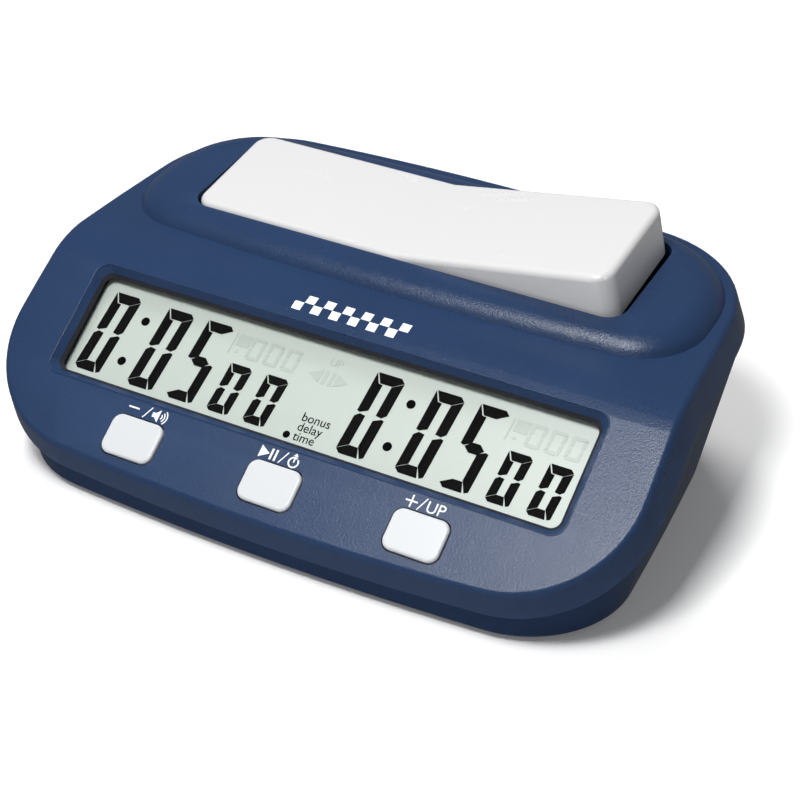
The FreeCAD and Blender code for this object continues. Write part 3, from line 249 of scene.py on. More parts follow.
# Materials. Colours are linear; the edge colour is the lighter colour of sharp ridges, a painted
# edge highlight as well as rubbed wear; grain is the noise scale and bump its depth in metres;
# rough and tone are low and high ends; smear is how strongly handling marks change the roughness;
# shine is the specular level.
finishes = {
    "casing_top": dict(colour=(0.0145, 0.035, 0.090), wornAndLit=(0.024, 0.052, 0.120), grain=2600,
                       bump=0.00007, rough=(0.26, 0.36), tone=(0.66, 1.38), smear=0.06,
                       shine=0.34),
    # The lower shell is the same navy as the top; its colour is set darker as painted shade on the
    # skirt and base walls.
    "casing_base": dict(colour=(0.011, 0.027, 0.072), wornAndLit=(0.022, 0.046, 0.10), grain=1900,
                        bump=0.00009, rough=(0.38, 0.48), tone=(0.72, 1.30), smear=0.08,
                        shine=0.10),
    "lever_white": dict(colour=(0.60, 0.60, 0.603), wornAndLit=(0.88, 0.88, 0.88), grain=2600,
                        bump=0.000006, rough=(0.24, 0.32), tone=(0.985, 1.01), smear=0.10,
                        coat=0.15),
    "key_white": dict(colour=(0.56, 0.58, 0.595), wornAndLit=(0.88, 0.88, 0.88), grain=2600,
                      bump=0.000012, rough=(0.36, 0.44), tone=(0.98, 1.01), smear=0.06),
    "dark_moulding": dict(colour=(0.008, 0.009, 0.012), wornAndLit=(0.05, 0.05, 0.055), grain=1800,
                          bump=0.00004, rough=(0.45, 0.6), tone=(0.8, 1.2), smear=0.05,
                          shine=0.12),
    "key_plunger": dict(colour=(0.20, 0.20, 0.21), wornAndLit=(0.32, 0.32, 0.32), grain=2000,
                        bump=0.00003, rough=(0.4, 0.5), tone=(0.9, 1.1), smear=0.05),
    "switch_thumb": dict(colour=(0.52, 0.52, 0.53), wornAndLit=(0.66, 0.66, 0.66), grain=2000,
                         bump=0.00003, rough=(0.35, 0.45), tone=(0.95, 1.04), smear=0.05),
    "conductive_rubber": dict(colour=(0.10, 0.10, 0.11), wornAndLit=(0.14, 0.14, 0.14), grain=1600,
                              bump=0.00005, rough=(0.7, 0.85), tone=(0.85, 1.15), smear=0.0),
    "rubber_feet": dict(colour=(0.030, 0.030, 0.032), wornAndLit=(0.07, 0.07, 0.07), grain=1200,
                        bump=0.00010, rough=(0.72, 0.88), tone=(0.8, 1.2), smear=0.0),
    "bright_steel": dict(colour=(0.58, 0.58, 0.60), wornAndLit=(0.75, 0.75, 0.75), grain=900,
                         bump=0.00001, rough=(0.22, 0.36), tone=(0.92, 1.05), smear=0.1,
                         metal=1.0),
    "plated_contact": dict(colour=(0.66, 0.63, 0.56), wornAndLit=(0.8, 0.78, 0.72), grain=900,
                           bump=0.00001, rough=(0.20, 0.32), tone=(0.92, 1.05), smear=0.1,
                           metal=1.0),
    "magnet_plating": dict(colour=(0.70, 0.70, 0.70), wornAndLit=(0.8, 0.8, 0.8), grain=900,
                           bump=0.00001, rough=(0.14, 0.24), tone=(0.95, 1.04), smear=0.1,
                           metal=1.0),
    "lead_red": dict(colour=(0.50, 0.02, 0.02), wornAndLit=(0.55, 0.06, 0.05), grain=700,
                     bump=0.00002, rough=(0.38, 0.5), tone=(0.9, 1.08), smear=0.0),
    "lead_black": dict(colour=(0.014, 0.014, 0.015), wornAndLit=(0.04, 0.04, 0.04), grain=700,
                       bump=0.00002, rough=(0.38, 0.5), tone=(0.9, 1.1), smear=0.0),
    "digit_ink": dict(colour=(0.0015, 0.0015, 0.002), wornAndLit=(0.01, 0.01, 0.01), grain=1500,
                      bump=0.000004, rough=(0.6, 0.7), tone=(0.9, 1.1), smear=0.0, shine=0.0),
    "ghost_ink": dict(colour=(0.398, 0.450, 0.412), wornAndLit=(0.40, 0.455, 0.417), grain=1500,
                      bump=0.000004, rough=(0.35, 0.45), tone=(0.97, 1.02), smear=0.0),
    "print_white": dict(colour=(0.82, 0.84, 0.88), wornAndLit=(0.82, 0.84, 0.88), grain=2100,
                        bump=0.00002, rough=(0.5, 0.6), tone=(0.93, 1.03), smear=0.0),
}


def newMaterial(name):
    material = bpy.data.materials.new(name)
    material.use_nodes = True
    return material, material.node_tree, material.node_tree.nodes["Principled BSDF"]


def useGroup(tree, group, **values):
    node = tree.nodes.new("ShaderNodeGroup")
    node.node_tree = group
    for label, value in values.items():
        node.inputs[label.replace("_", " ")].default_value = value
    return node


def colourMix(tree, blend, factor, first, second):
    node = tree.nodes.new("ShaderNodeMix")
    node.data_type = "RGBA"
    node.blend_type = blend
    node.clamp_result = True
    factorSocket, firstSocket, secondSocket = node.inputs[0], node.inputs[6], node.inputs[7]
    for socket, value in ((factorSocket, factor), (firstSocket, first), (secondSocket, second)):
        if isinstance(value, (int, float, tuple)):
            socket.default_value = value if isinstance(value, (int, float)) else (*value, 1.0)
        else:
            tree.links.new(value, socket)
    return node.outputs[2]


def addBump(tree, shader, height, distance):
    bump = tree.nodes.new("ShaderNodeBump")
    bump.inputs["Strength"].default_value = 1.0
    bump.inputs["Distance"].default_value = distance
    join(tree, height, bump.inputs["Height"])
    join(tree, bump.outputs["Normal"], shader.inputs["Normal"])


# What every moulded finish shares.
moulding = {"smearScale": 45.0, "wearAndHighlightLow": 0.54, "wearAndHighlightHigh": 0.66, "wearAndHighlightShare": 0.6, "shine": 0.5,
            "coatRough": 0.12}


def mouldedMaterial(name, finish):
    material, tree, shader = newMaterial(name)
    grain = useGroup(tree, mouldGrain, Scale=finish["grain"], Rough_Low=finish["rough"][0],
                     Rough_High=finish["rough"][1], Tone_Low=finish["tone"][0],
                     Tone_High=finish["tone"][1])
    smears = useGroup(tree, handSmears, Scale=moulding["smearScale"], Amount=finish["smear"])
    wearAndHighlight = useGroup(tree, edgeWearAndHighlight, Low=moulding["wearAndHighlightLow"], High=moulding["wearAndHighlightHigh"])
    toned = colourMix(tree, "MULTIPLY", 1.0, finish["colour"], grain.outputs["Tone"])
    # Sharp ridges take the lighter edge colour: a painted edge highlight as well as wear.
    rubbedAndLit = mathNode(tree, "MULTIPLY", wearAndHighlight.outputs["Mask"], moulding["wearAndHighlightShare"])
    join(tree, colourMix(tree, "MIX", rubbedAndLit, toned, finish["wornAndLit"]), shader.inputs["Base Color"])
    join(tree, mathNode(tree, "SUBTRACT", grain.outputs["Roughness"], smears.outputs["Shift"]),
         shader.inputs["Roughness"])
    addBump(tree, shader, grain.outputs["Height"], finish["bump"])
    shader.inputs["Metallic"].default_value = finish.get("metal", 0.0)
    shader.inputs["Specular IOR Level"].default_value = finish.get("shine", moulding["shine"])
    shader.inputs["Coat Weight"].default_value = finish.get("coat", 0.0)
    shader.inputs["Coat Roughness"].default_value = moulding["coatRough"]
    return material


# Display cell: pale polariser film with a slow drift in brightness.
def cellMaterial(name, colour):
    material, tree, shader = newMaterial(name)
    grain = useGroup(tree, mouldGrain, Scale=1800.0, Rough_Low=0.34, Rough_High=0.42,
                     Tone_Low=0.985, Tone_High=1.015)
    join(tree, colourMix(tree, "MULTIPLY", 1.0, colour, grain.outputs["Tone"]),
         shader.inputs["Base Color"])
    join(tree, grain.outputs["Roughness"], shader.inputs["Roughness"])
    addBump(tree, shader, grain.outputs["Height"], 0.000004)
    return material


# Clear window: a weak mirror that grows towards grazing angles, and open for the rest.
clearWindow = {"smearScale": 60.0, "smear": 0.10, "rough": 0.04, "index": 1.09}


def lensMaterial(name):
    material, tree, shader = newMaterial(name)
    shader.inputs["Base Color"].default_value = (1.0, 1.0, 1.0, 1.0)
    shader.inputs["Metallic"].default_value = 1.0
    smears = useGroup(tree, handSmears, Scale=clearWindow["smearScale"],
                      Amount=clearWindow["smear"])
    join(tree, mathNode(tree, "ADD", smears.outputs["Shift"], clearWindow["rough"]),
         shader.inputs["Roughness"])
    fresnel = tree.nodes.new("ShaderNodeFresnel")
    fresnel.inputs["IOR"].default_value = clearWindow["index"]
    join(tree, fresnel.outputs["Fac"], shader.inputs["Alpha"])
    return material


# Circuit board: tracks are the joints of a brick pattern, pads the round middles of random cells.
def boardMaterial(name):
    material, tree, shader = newMaterial(name)
    place = tree.nodes.new("ShaderNodeTexCoord")
    tracks = tree.nodes.new("ShaderNodeTexBrick")
    tracks.inputs["Scale"].default_value = 260.0
    tracks.inputs["Mortar Size"].default_value = 0.09
    tracks.inputs["Brick Width"].default_value = 1.6
    tracks.inputs["Color1"].default_value = (0.006, 0.060, 0.026, 1)
    tracks.inputs["Color2"].default_value = (0.008, 0.070, 0.030, 1)
    tracks.inputs["Mortar"].default_value = (0.030, 0.150, 0.070, 1)
    pads = tree.nodes.new("ShaderNodeTexVoronoi")
    pads.inputs["Scale"].default_value = 330.0
    join(tree, place.outputs["Object"], tracks.inputs["Vector"])
    join(tree, place.outputs["Object"], pads.inputs["Vector"])
    dots = mathNode(tree, "LESS_THAN", pads.outputs["Distance"], 0.16)
    join(tree, colourMix(tree, "MIX", dots, tracks.outputs["Color"], (0.55, 0.50, 0.40)),
         shader.inputs["Base Color"])
    join(tree, dots, shader.inputs["Metallic"])
    join(tree, mapRange(tree, dots, 0.42, 0.25), shader.inputs["Roughness"])
    addBump(tree, shader, tracks.outputs["Fac"], 0.00004)
    return material


# Battery jacket: plain bands along its length, with steel past both ends of the wrap.
def jacketMaterial(name, low, high):
    material, tree, shader = newMaterial(name)
    place = tree.nodes.new("ShaderNodeTexCoord")
    split = tree.nodes.new("ShaderNodeSeparateXYZ")
    join(tree, place.outputs["Object"], split.inputs[0])
    along = tree.nodes.new("ShaderNodeMapRange")
    along.inputs["From Min"].default_value = low
    along.inputs["From Max"].default_value = high
    join(tree, split.outputs["X"], along.inputs["Value"])
    bands = tree.nodes.new("ShaderNodeValToRGB")
    bands.color_ramp.interpolation = "CONSTANT"
    stops = [(0.0, (0.55, 0.55, 0.56, 1)), (0.03, (0.02, 0.02, 0.022, 1)),
             (0.68, (0.42, 0.20, 0.06, 1)), (0.93, (0.02, 0.02, 0.022, 1)),
             (0.955, (0.60, 0.60, 0.61, 1))]
    ramp = bands.color_ramp.elements
    ramp[0].position, ramp[0].color = stops[0]
    ramp[1].position, ramp[1].color = stops[-1]
    for position, colour in stops[1:-1]:
        ramp.new(position).color = colour
    join(tree, along.outputs["Result"], bands.inputs["Fac"])
    grain = useGroup(tree, mouldGrain, Scale=900.0, Rough_Low=0.22, Rough_High=0.34, Tone_Low=0.95,
                     Tone_High=1.03)
    join(tree, colourMix(tree, "MULTIPLY", 1.0, bands.outputs["Color"], grain.outputs["Tone"]),
         shader.inputs["Base Color"])
    join(tree, grain.outputs["Roughness"], shader.inputs["Roughness"])
    return material


materials = {name: mouldedMaterial(name, finish) for name, finish in finishes.items()}
materials["display_cell"] = cellMaterial("display_cell", (0.460, 0.516, 0.477))
materials["display_backing"] = cellMaterial("display_backing", (0.60, 0.62, 0.60))
materials["lens_clear"] = lensMaterial("lens_clear")
materials["board_green"] = boardMaterial("board_green")
cellLow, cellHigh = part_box("battery_cell")
materials["cell_jacket"] = jacketMaterial("cell_jacket", cellLow[0], cellHigh[0])

slotOf = {part["node"]: part["material_slot"] for part in frame["record"]["subparts"]}
for node, shape in frame["nodes"].items():
    for index in range(len(shape.data.materials)):
        shape.data.materials[index] = materials[slotOf[node]]
print("materials built:", len(materials))


# Placing helpers.
panel = {"tilt": 34.0, "rearTilt": 3.1, "y": -26.6, "z": 29.9, "bendStart": 13.0, "bendEnd": 22.0,
         "bendSteps": 4}


# Panel place: u runs to the right, v up the slope, w out of the face.
def onPanel(u, v, w):
    a = math.radians(panel["tilt"])
    u, v, w = np.broadcast_arrays(np.asarray(u, float), np.asarray(v, float), np.asarray(w, float))
    return np.stack([u, panel["y"] + v * math.cos(a) - w * math.sin(a),
                     panel["z"] + v * math.sin(a) + w * math.cos(a)], axis=-1) * mm


# Casing top: u to the right, s up the slope and on over the bend. The bend is a run of equal
# turns, so a point's place is the sum of the straight stretches before it.
def onCasing(u, s, w):
    pitch = (panel["bendEnd"] - panel["bendStart"]) / panel["bendSteps"]
    knots = panel["bendStart"] + pitch * np.arange(panel["bendSteps"] + 1)
    turn = (panel["rearTilt"] - panel["tilt"]) / (panel["bendSteps"] + 1)
    u, s, w = np.broadcast_arrays(np.asarray(u, float), np.asarray(s, float), np.asarray(w, float))
    edges = np.concatenate([[-1000.0], knots, [1000.0]])
    tilts = np.radians(panel["tilt"] + turn * np.arange(len(knots) + 1))
    lengths = np.clip(s[..., None], edges[:-1], edges[1:]) - np.clip(0.0, edges[:-1], edges[1:])
    a = tilts[np.clip(np.searchsorted(knots, s), 0, len(knots))]
    y = panel["y"] + (lengths * np.cos(tilts)).sum(-1) - w * np.sin(a)
    z = panel["z"] + (lengths * np.sin(tilts)).sum(-1) + w * np.cos(a)
    return np.stack([u, y, z], axis=-1) * mm


def makePiece(name, points, faces, material, body, smooth=False):
    mesh = bpy.data.meshes.new(name)
    mesh.from_pydata(np.asarray(points).reshape(-1, 3).tolist(), [], faces)
    mesh.update()
    mesh.materials.append(materials[material])
    piece = bpy.data.objects.new(name, mesh)
    bpy.context.collection.objects.link(piece)
    if smooth:
        mesh.shade_smooth()
    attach(piece, body)
    return piece


# Smooth shading weighted by face area, so that large flat faces stay flat.
def evenShading(piece):
    even = piece.modifiers.new("evenShading", "WEIGHTED_NORMAL")
    even.keep_sharp = True
    even.weight = 100


# Grid faces between rows and columns of points; wrap closes the columns into a ring.
def gridFaces(rows, columns, wrap):
    last = columns if wrap else columns - 1
    row, column = np.meshgrid(np.arange(rows - 1), np.arange(last), indexing="ij")
    nextColumn = (column + 1) % columns
    faces = np.stack([row * columns + column, row * columns + nextColumn,
                      (row + 1) * columns + nextColumn, (row + 1) * columns + column], axis=-1)
    return faces.reshape(-1, 4).tolist()


# An outline is turned so that its corners run anticlockwise, which makes its cap face out.
def outward(outline):
    following = np.roll(outline, -1, axis=0)
    area = np.sum(outline[:, 0] * following[:, 1] - following[:, 0] * outline[:, 1])
    return outline if area > 0 else outline[::-1]


# Flat shapes raised by a film's thickness: every outline is copied up, capped and walled.
def filmPiece(name, outlines, low, high, material, body):
    points, faces, start = [], [], 0
    for outline in outlines:
        outline = outward(np.asarray(outline, float))
        count = len(outline)
        points.append(onPanel(outline[:, 0], outline[:, 1], low))
        points.append(onPanel(outline[:, 0], outline[:, 1], high))
        faces.append(list(range(start + count - 1, start - 1, -1)))
        faces.append(list(range(start + count, start + 2 * count)))
        following = [(i + 1) % count for i in range(count)]
        faces += [[start + i, start + j, start + count + j, start + count + i]
                  for i, j in enumerate(following)]
        start += 2 * count
    return makePiece(name, np.concatenate(points), faces, material, body)


# Shells and lever.
shells = {"crease": 35.0, "merge": 0.000002}


# A merged copy of a node with its creases kept and its faces shaded by area.
def smoothCopy(node, name, body):
    mesh = frame["nodes"][node].data.copy()
    mesh.name = name
    work = bmesh.new()
    work.from_mesh(mesh)
    bmesh.ops.remove_doubles(work, verts=work.verts, dist=shells["merge"])
    work.to_mesh(mesh)
    work.free()
    if mesh.has_custom_normals:
        mesh.attributes.remove(mesh.attributes["custom_normal"])
    mesh.shade_smooth()
    mesh.set_sharp_from_angle(angle=math.radians(shells["crease"]))
    piece = bpy.data.objects.new(name, mesh)
    bpy.context.collection.objects.link(piece)
    evenShading(piece)
    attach(piece, body)
    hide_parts(node)


smoothCopy("top_shell", "casingTop", "case")
smoothCopy("bottom_shell", "casingBase", "case")
smoothCopy("rocker_lever", "rockerLever", "rocker")
print("shells and lever made")


# Keys.
keys = {"left": -33.0, "middle": 0.0, "right": 33.0}
keyShape = {"v": -21.7, "width": 12.2, "height": 8.9, "corner": 2.2, "proud": 0.7, "skirt": 2.25,
            "edge": 0.6, "around": 96, "turnSteps": 8, "flats": (0.03, 0.4),
            "cornerShrink": 0.8, "crease": 40.0}


# Rounded rectangle: a circle of the corner's radius, its four quarters moved out to the corners.
def roundedLoop(width, height, corner, count):
    t = np.linspace(0.0, 2 * np.pi, count, endpoint=False)
    c, s = np.cos(t), np.sin(t)
    return (np.sign(c) * (width / 2 - corner) + corner * c,
            np.sign(s) * (height / 2 - corner) + corner * s)


# Key cap: rings of a rounded rectangle; inward from the wall the height follows a quarter
# circle round the edge and then stays level over the face.
def keyCap(name, centre, body, k):
    rings = [(0.0, -k["skirt"]), (0.0, k["proud"] - k["edge"])]
    for step in range(1, k["turnSteps"] + 1):
        a = step / k["turnSteps"] * math.pi / 2
        rings.append((k["edge"] * (1 - math.cos(a)), k["proud"] - k["edge"] * (1 - math.sin(a))))
    for flat in k["flats"]:
        rings.append((k["edge"] + flat, k["proud"]))
    points = []
    for inset, w in rings:
        corner = k["corner"] - inset * k["cornerShrink"]
        x, y = roundedLoop(k["width"] - 2 * inset, k["height"] - 2 * inset, corner, k["around"])
        points.append(onPanel(centre + x, k["v"] + y, w))
    faces = gridFaces(len(rings), k["around"], True)
    last = (len(rings) - 1) * k["around"]
    faces.append(list(range(k["around"] - 1, -1, -1)))
    faces.append(list(range(last, last + k["around"])))
    return makePiece(name, np.concatenate(points), faces, "key_white", body, True)


for side, centre in keys.items():
    cap = keyCap("keyCap_" + side, centre, side + "_key", keyShape)
    cap.data.set_sharp_from_angle(angle=math.radians(keyShape["crease"]))
    evenShading(cap)
    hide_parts("button_" + side)
print("key caps made")


# Window trim.
# The lining values place a dark ring of painted shade on the bevel.
trim = {"width": 119.8, "height": 26.5, "corner": 3.0, "leastCorner": 0.8, "cornerShrink": 0.5,
        "inset": 1.9, "depth": 2.2, "around": 256, "crease": 40.0, "shadeLiningTo": 0.985,
        "shadeLiningFrom": 0.66, "proud": 0.05, "backing": 0.25, "beadRadius": 0.2, "beadSteps": 12,
        "beadInset": -0.1, "beadSink": 0.06}


# A ring carried round the window: each section point is a distance inwards and a height, and its
# loop is a rounded rectangle whose corner closes by half that distance, as the opening's does.
def windowRing(name, section, material):
    points = []
    for inset, w in section:
        corner = max(trim["corner"] - inset * trim["cornerShrink"], trim["leastCorner"])
        x, y = roundedLoop(trim["width"] - 2 * inset, trim["height"] - 2 * inset, corner,
                           trim["around"])
        points.append(onPanel(x, y, w))
    total = len(section) * trim["around"]
    faces = gridFaces(len(section) + 1, trim["around"], True)
    closed = [[i % total for i in face] for face in faces]
    ring = makePiece(name, np.concatenate(points), closed, material, "case", True)
    work = bmesh.new()
    work.from_mesh(ring.data)
    bmesh.ops.recalc_face_normals(work, faces=work.faces)
    work.to_mesh(ring.data)
    work.free()
    return ring


# Painted shade: a dark lining covers the deeper part of the bevel, just proud of it and let into
# it behind, so that the window's inner wall looks shaded.
slope = np.array([trim["inset"], -trim["depth"]])
outwards = np.array([-slope[1], slope[0]]) / np.linalg.norm(slope)
start, end = slope * trim["shadeLiningFrom"], slope * trim["shadeLiningTo"]
shadeLining = [start + outwards * trim["proud"], end + outwards * trim["proud"],
          end - outwards * trim["backing"], start - outwards * trim["backing"]]
windowShadeLining = windowRing("windowShadeLining", shadeLining, "dark_moulding")
windowShadeLining.data.set_sharp_from_angle(angle=math.radians(trim["crease"]))
# The bead is a circle on the opening's outer edge, half sunk into the panel.
t = np.linspace(0, -2 * np.pi, trim["beadSteps"], endpoint=False)
windowRing("windowBead", np.stack([trim["beadInset"] + trim["beadRadius"] * np.cos(t),
                                   trim["beadRadius"] * np.sin(t) - trim["beadSink"]], axis=1),
           "casing_top")
print("window trim made")


# Display figures.
display = {"face": -4.14, "film": 0.05, "slant": 0.085, "pitch": 64.3,
           "large": {"width": 6.5, "top": 9.15, "bottom": -9.65, "bar": 2.25, "gap": 0.24,
                     "chamfer": 1.2},
           "small": {"width": 5.3, "top": 1.65, "bottom": -9.6, "bar": 1.85, "gap": 0.22,
                     "chamfer": 0.95},
           "colonX": -46.1, "colonV": (4.6, -5.3), "colonRadius": 0.98,
           "dot": (-3.75, -9.35, 0.78)}
# The left group: centre of each figure, its size and its digit.
figures = [(-52.75, "large", "0"), (-39.25, "large", "0"), (-29.3, "large", "5"),
           (-20.2, "small", "0"), (-11.4, "small", "0")]
lit = {"0": "abcdef", "5": "acdfg"}


# Seven segments: each is a bar between the outer and inner outline, mitred where bars meet and
# drawn in by half a gap; the corners are measured in bar widths from the outline's sides.
def segmentOutlines(f, segments):
    w, h = f["width"], f["top"] - f["bottom"]
    b, g, c = f["bar"], f["gap"] / 2, f["chamfer"]
    left, right, foot, head = -w / 2, w / 2, -h / 2, h / 2
    half = b / 2
    shapes = {
        "a": [(left + g, head), (right - c * 0.9, head), (right - g * 0.3, head - c * 0.75),
              (right - b + g * 0.2, head - b), (left + b * 0.62 + g, head - b)],
        "f": [(left - g, head - g), (left + b * 0.62 - g, head - b - g),
              (left + b, head - b - g * 2), (left + b, half - b * 0.1), (left + b * 0.3, g),
              (left, half - b * 0.35)],
        "b": [(right, head - c * 0.75 - g), (right, half - b * 0.1), (right - b * 0.4, g),
              (right - b, half - b * 0.35), (right - b, head - b - g)],
        "e": [(left, -half + b * 0.1), (left + b * 0.4, -g), (left + b, -half + b * 0.35),
              (left + b, foot + b + g), (left, foot + c * 0.75 + g)],
        "c": [(right, -half + b * 0.35), (right, foot + c * 0.4),
              (right - b * 0.35, foot + g * 0.5), (right - b * 0.62 + g, foot + b * 0.4),
              (right - b, foot + b + g * 2), (right - b, -half + b * 0.1), (right - b * 0.3, -g)],
        "d": [(left + g * 0.3, foot + c * 0.75), (left + b - g * 0.2, foot + b),
              (right - b * 0.9 - g, foot + b), (right - b * 0.5 - g, foot),
              (left + c * 0.9, foot)],
        "g": [(left + b * 0.45, 0), (left + b + g, half), (right - b - g * 2, half),
              (right - b * 0.5, 0), (right - b - g, -half), (left + b + g, -half)],
    }
    return [np.array(shapes[s][::-1]) for s in segments]


# A slant moves every point sideways in step with its height.
def slanted(outline, centreX, centreV):
    x = centreX + outline[:, 0] + outline[:, 1] * display["slant"]
    return np.stack([x, centreV + outline[:, 1]], axis=1)


def disc(x, v, radius, count=32):
    t = np.linspace(0, 2 * np.pi, count, endpoint=False)
    return np.stack([x + radius * np.cos(t), v + radius * np.sin(t)], axis=1)


def segmentFigure(f, digit, centreX):
    middle = (f["top"] + f["bottom"]) / 2
    return [slanted(outline, centreX, middle) for outline in segmentOutlines(f, lit[digit])]


def filmSet(name, outlines, ink):
    low = display["face"]
    return filmPiece(name, outlines, low, low + display["film"], ink, "case")


inkOutlines = []
for shift in (0.0, display["pitch"]):
    for centre, kind, digit in figures:
        inkOutlines += segmentFigure(display[kind], digit, centre + shift)
    for v in display["colonV"]:
        inkOutlines.append(disc(display["colonX"] + shift + v * display["slant"], v,
                                display["colonRadius"]))
inkOutlines.append(disc(*display["dot"]))
filmSet("displayFigures", inkOutlines, "digit_ink")

# Unlit segments: small figures, a flag, arrows and bars, only a shade darker than the film.
ghosts = {"figure": {"width": 3.3, "top": 8.4, "bottom": 3.3, "bar": 0.75, "gap": 0.16,
                     "chamfer": 0.5},
          "figureX": (-18.6, -14.3, -10.0), "flagX": -24.4, "arrowX": -0.7, "arrowV": 4.6,
          "flag": [[(-0.25, 3.4), (0.1, 3.4), (0.5, 8.4), (0.15, 8.4)],
                   [(0.8, 5.6), (3.8, 5.6), (4.0, 8.3), (1.0, 8.3)],
                   [(1.2, 4.0), (2.2, 4.0), (1.8, 4.9)]],
          "arrows": [[(-4.6, 0.0), (-1.8, -1.5), (-1.5, 1.5)],
                     [(-1.25, -1.6), (-0.4, -1.6), (-0.1, 1.6), (-0.95, 1.6)],
                     [(0.3, -1.6), (1.15, -1.6), (1.45, 1.6), (0.6, 1.6)],
                     [(1.6, -1.5), (1.9, 1.5), (4.7, 0.0)]]}
ghostOutlines = []
for shift in (0.0, display["pitch"]):
    for x in ghosts["figureX"]:
        ghostOutlines += segmentFigure(ghosts["figure"], "0", x + shift)
    ghostOutlines += [np.array(part) + (ghosts["flagX"] + shift, 0.0) for part in ghosts["flag"]]
middle = (ghosts["arrowX"], ghosts["arrowV"])
ghostOutlines += [np.array(part) + middle for part in ghosts["arrows"]]
filmSet("displayGhosts", ghostOutlines, "ghost_ink")


# Raised letters: the outline font filled and given a film's thickness, laid on the panel.
letters = {"curveSteps": 4, "merge": 0.0000005}


def letterPiece(name, words, ink, body, thick):
    points, faces, start = [], [], 0
    for text, u, v, w, size, shear in words:
        curve = bpy.data.curves.new(name, "FONT")
        curve.body = text
        curve.size = size
        curve.shear = shear
        curve.extrude = thick / 2
        curve.resolution_u = letters["curveSteps"]
        holder = bpy.data.objects.new(name, curve)
        bpy.context.collection.objects.link(holder)
        bpy.context.view_layer.update()
        drawn = bpy.data.meshes.new_from_object(holder)
        spots = np.empty(len(drawn.vertices) * 3)
        drawn.vertices.foreach_get("co", spots)
        spots = spots.reshape(-1, 3)
        points.append(onPanel(spots[:, 0] + u, spots[:, 1] + v, spots[:, 2] + w + thick / 2))
        faces += [[start + i for i in face.vertices] for face in drawn.polygons]
        start += len(spots)
        bpy.data.objects.remove(holder)
        bpy.data.curves.remove(curve)
        bpy.data.meshes.remove(drawn)
    piece = makePiece(name, np.concatenate(points), faces, ink, body)
    work = bmesh.new()
    work.from_mesh(piece.data)
    bmesh.ops.remove_doubles(work, verts=work.verts, dist=letters["merge"])
    work.to_mesh(piece.data)
    work.free()
    return piece


words = {"left": -2.2, "size": 2.75, "rows": {"bonus": -5.6, "delay": -7.8, "time": -10.0},
         "ghost": ("UP", -1.9, 7.4, display["face"], 2.5, 0.08)}
letterPiece("displayWords",
            [(text, words["left"], v, display["face"], words["size"], 0.0)
             for text, v in words["rows"].items()],
            "digit_ink", "case", display["film"])
letterPiece("displayGhostWord", [words["ghost"]], "ghost_ink", "case",
            display["film"])
print("display figures made")


# Printed key symbols, each group over its key. Line and bold are widths; thin, ring and hand are
# shares of line; turns are in degrees.
symbols = {"v": -15.4, "sunk": -0.005, "film": 0.03, "line": 0.34, "bold": 0.46, "thin": 0.7,
           "ring": 0.75, "hand": 0.9, "ringRadii": (0.65, 1.25, 1.85), "ringTurn": (-48, 48),
           "dialRadius": 1.05, "dialTurn": (62, 405), "dialPoints": 41, "arm": 1.3,
           "word": ("UP", 32.45, -1.25, 3.4)}


# A line with width: the path's points pushed to both sides along their normals.
def stroke(points, width):
    points = np.asarray(points, float)
    along = np.gradient(points, axis=0)
    along /= np.linalg.norm(along, axis=1, keepdims=True)
    side = np.stack([-along[:, 1], along[:, 0]], axis=1) * width / 2
    return np.concatenate([points - side, (points + side)[::-1]])


def arc(x, v, radius, turn, count=17):
    t = np.radians(np.linspace(*turn, count))
    return np.stack([x + radius * np.cos(t), v + radius * np.sin(t)], axis=1)


v, line = symbols["v"], symbols["line"]
thin, bold = line * symbols["thin"], symbols["bold"]
minusAndSpeaker = [
    stroke([(-37.3, v + 0.2), (-34.7, v + 0.2)], line),
    stroke([(-33.3, v - 1.3), (-31.9, v + 1.4)], thin),
    [(-31.4, v - 0.5), (-30.7, v - 0.5), (-29.75, v - 1.4), (-29.75, v + 1.4), (-30.7, v + 0.5),
     (-31.4, v + 0.5)]]
minusAndSpeaker += [stroke(arc(-29.7, v, radius, symbols["ringTurn"]), line * symbols["ring"])
                    for radius in symbols["ringRadii"]]
playAndStopwatch = [
    [(-5.3, v - 1.3), (-3.1, v), (-5.3, v + 1.3)],
    stroke([(-2.65, v - 1.2), (-2.65, v + 1.2)], bold),
    stroke([(-1.65, v - 1.2), (-1.65, v + 1.2)], bold),
    stroke([(-0.6, v - 1.3), (0.8, v + 1.4)], thin),
    stroke(arc(2.55, v - 0.25, symbols["dialRadius"], symbols["dialTurn"], symbols["dialPoints"]),
           line),
    stroke([(2.55, v - 0.25), (2.55, v + 0.55)], line * symbols["hand"]),
    [(2.0, v + 1.1), (3.1, v + 1.1), (2.55, v + 1.75)]]
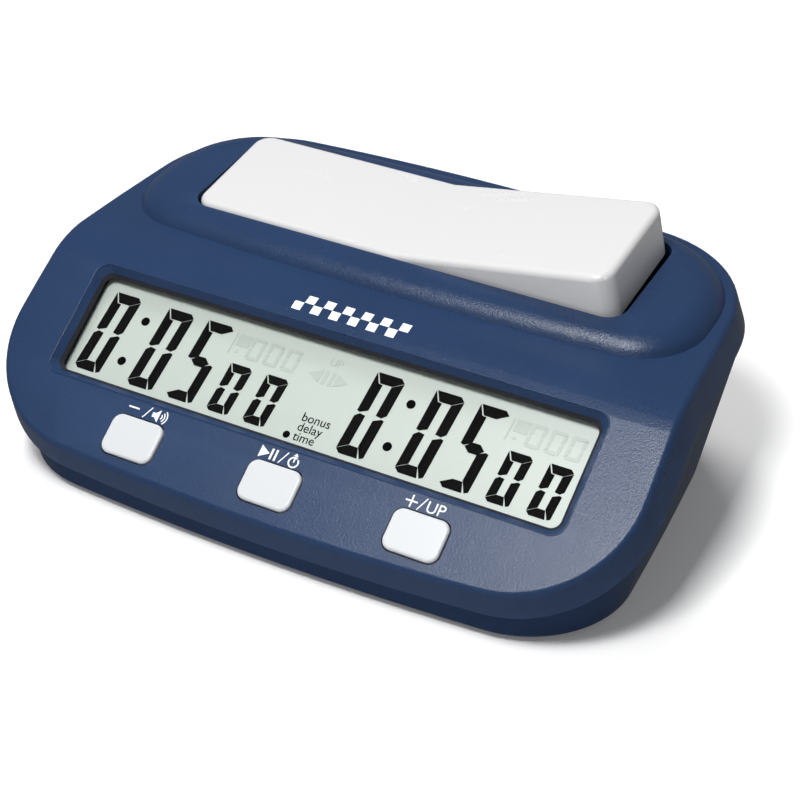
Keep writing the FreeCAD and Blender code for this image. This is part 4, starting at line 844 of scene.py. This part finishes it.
arm, thick = symbols["arm"], line / 2
cross = [(-arm, -thick), (-thick, -thick), (-thick, -arm), (thick, -arm), (thick, -thick),
         (arm, -thick), (arm, thick), (thick, thick), (thick, arm), (-thick, arm),
         (-thick, thick), (-arm, thick)]
plus = [[(29.2 + a, v + b) for a, b in cross], stroke([(30.8, v - 1.4), (32.2, v + 1.4)], thin)]
filmPiece("keySymbols", minusAndSpeaker + playAndStopwatch + plus, symbols["sunk"],
          symbols["film"], "print_white", "case")
text, left, drop, height = symbols["word"]
letterPiece("keySymbolWord", [(text, left, v + drop, symbols["sunk"], height, 0.0)], "print_white",
            "case", symbols["film"])

# Chequered band: alternate squares, each a small grid laid over the bend and given a film's
# thickness. A square is two points wide and as many points long as steps says.
chequer = {"columns": 12, "rows": 2, "square": 2.2, "gap": 0.08, "run": 17.8, "centre": -0.3,
           "sunk": -0.01, "film": 0.05, "steps": 7}
across, upward = np.meshgrid(np.arange(chequer["columns"]), np.arange(chequer["rows"]))
shown = (across + upward) % 2 == 0
across, upward = across[shown], upward[shown]
steps, side = chequer["steps"], chequer["square"]
f, g = np.meshgrid(np.linspace(0, 1, 2), np.linspace(0, 1, steps))
inner = side - chequer["gap"]
column = (across[:, None] - chequer["columns"] / 2) * side
row = (upward[:, None] - chequer["rows"] / 2) * side
u = chequer["centre"] + column + f.ravel()[None] * inner
s = chequer["run"] + row + g.ravel()[None] * inner
lower, upper = onCasing(u, s, chequer["sunk"]), onCasing(u, s, chequer["film"])
each = 2 * steps
rim = [0] + list(range(1, each, 2)) + list(range(each - 2, 0, -2))
cap = gridFaces(steps, 2, False)
faces = []
for index in range(len(across)):
    low, high = 2 * each * index, 2 * each * index + each
    faces += [[high + i for i in face] for face in cap]
    faces += [[low + i for i in face[::-1]] for face in cap]
    faces += [[low + a, low + b, high + b, high + a] for a, b in zip(rim, rim[1:] + rim[:1])]
makePiece("chequerBand", np.concatenate([lower, upper], axis=1), faces, "print_white", "case")
print("printed symbols made")
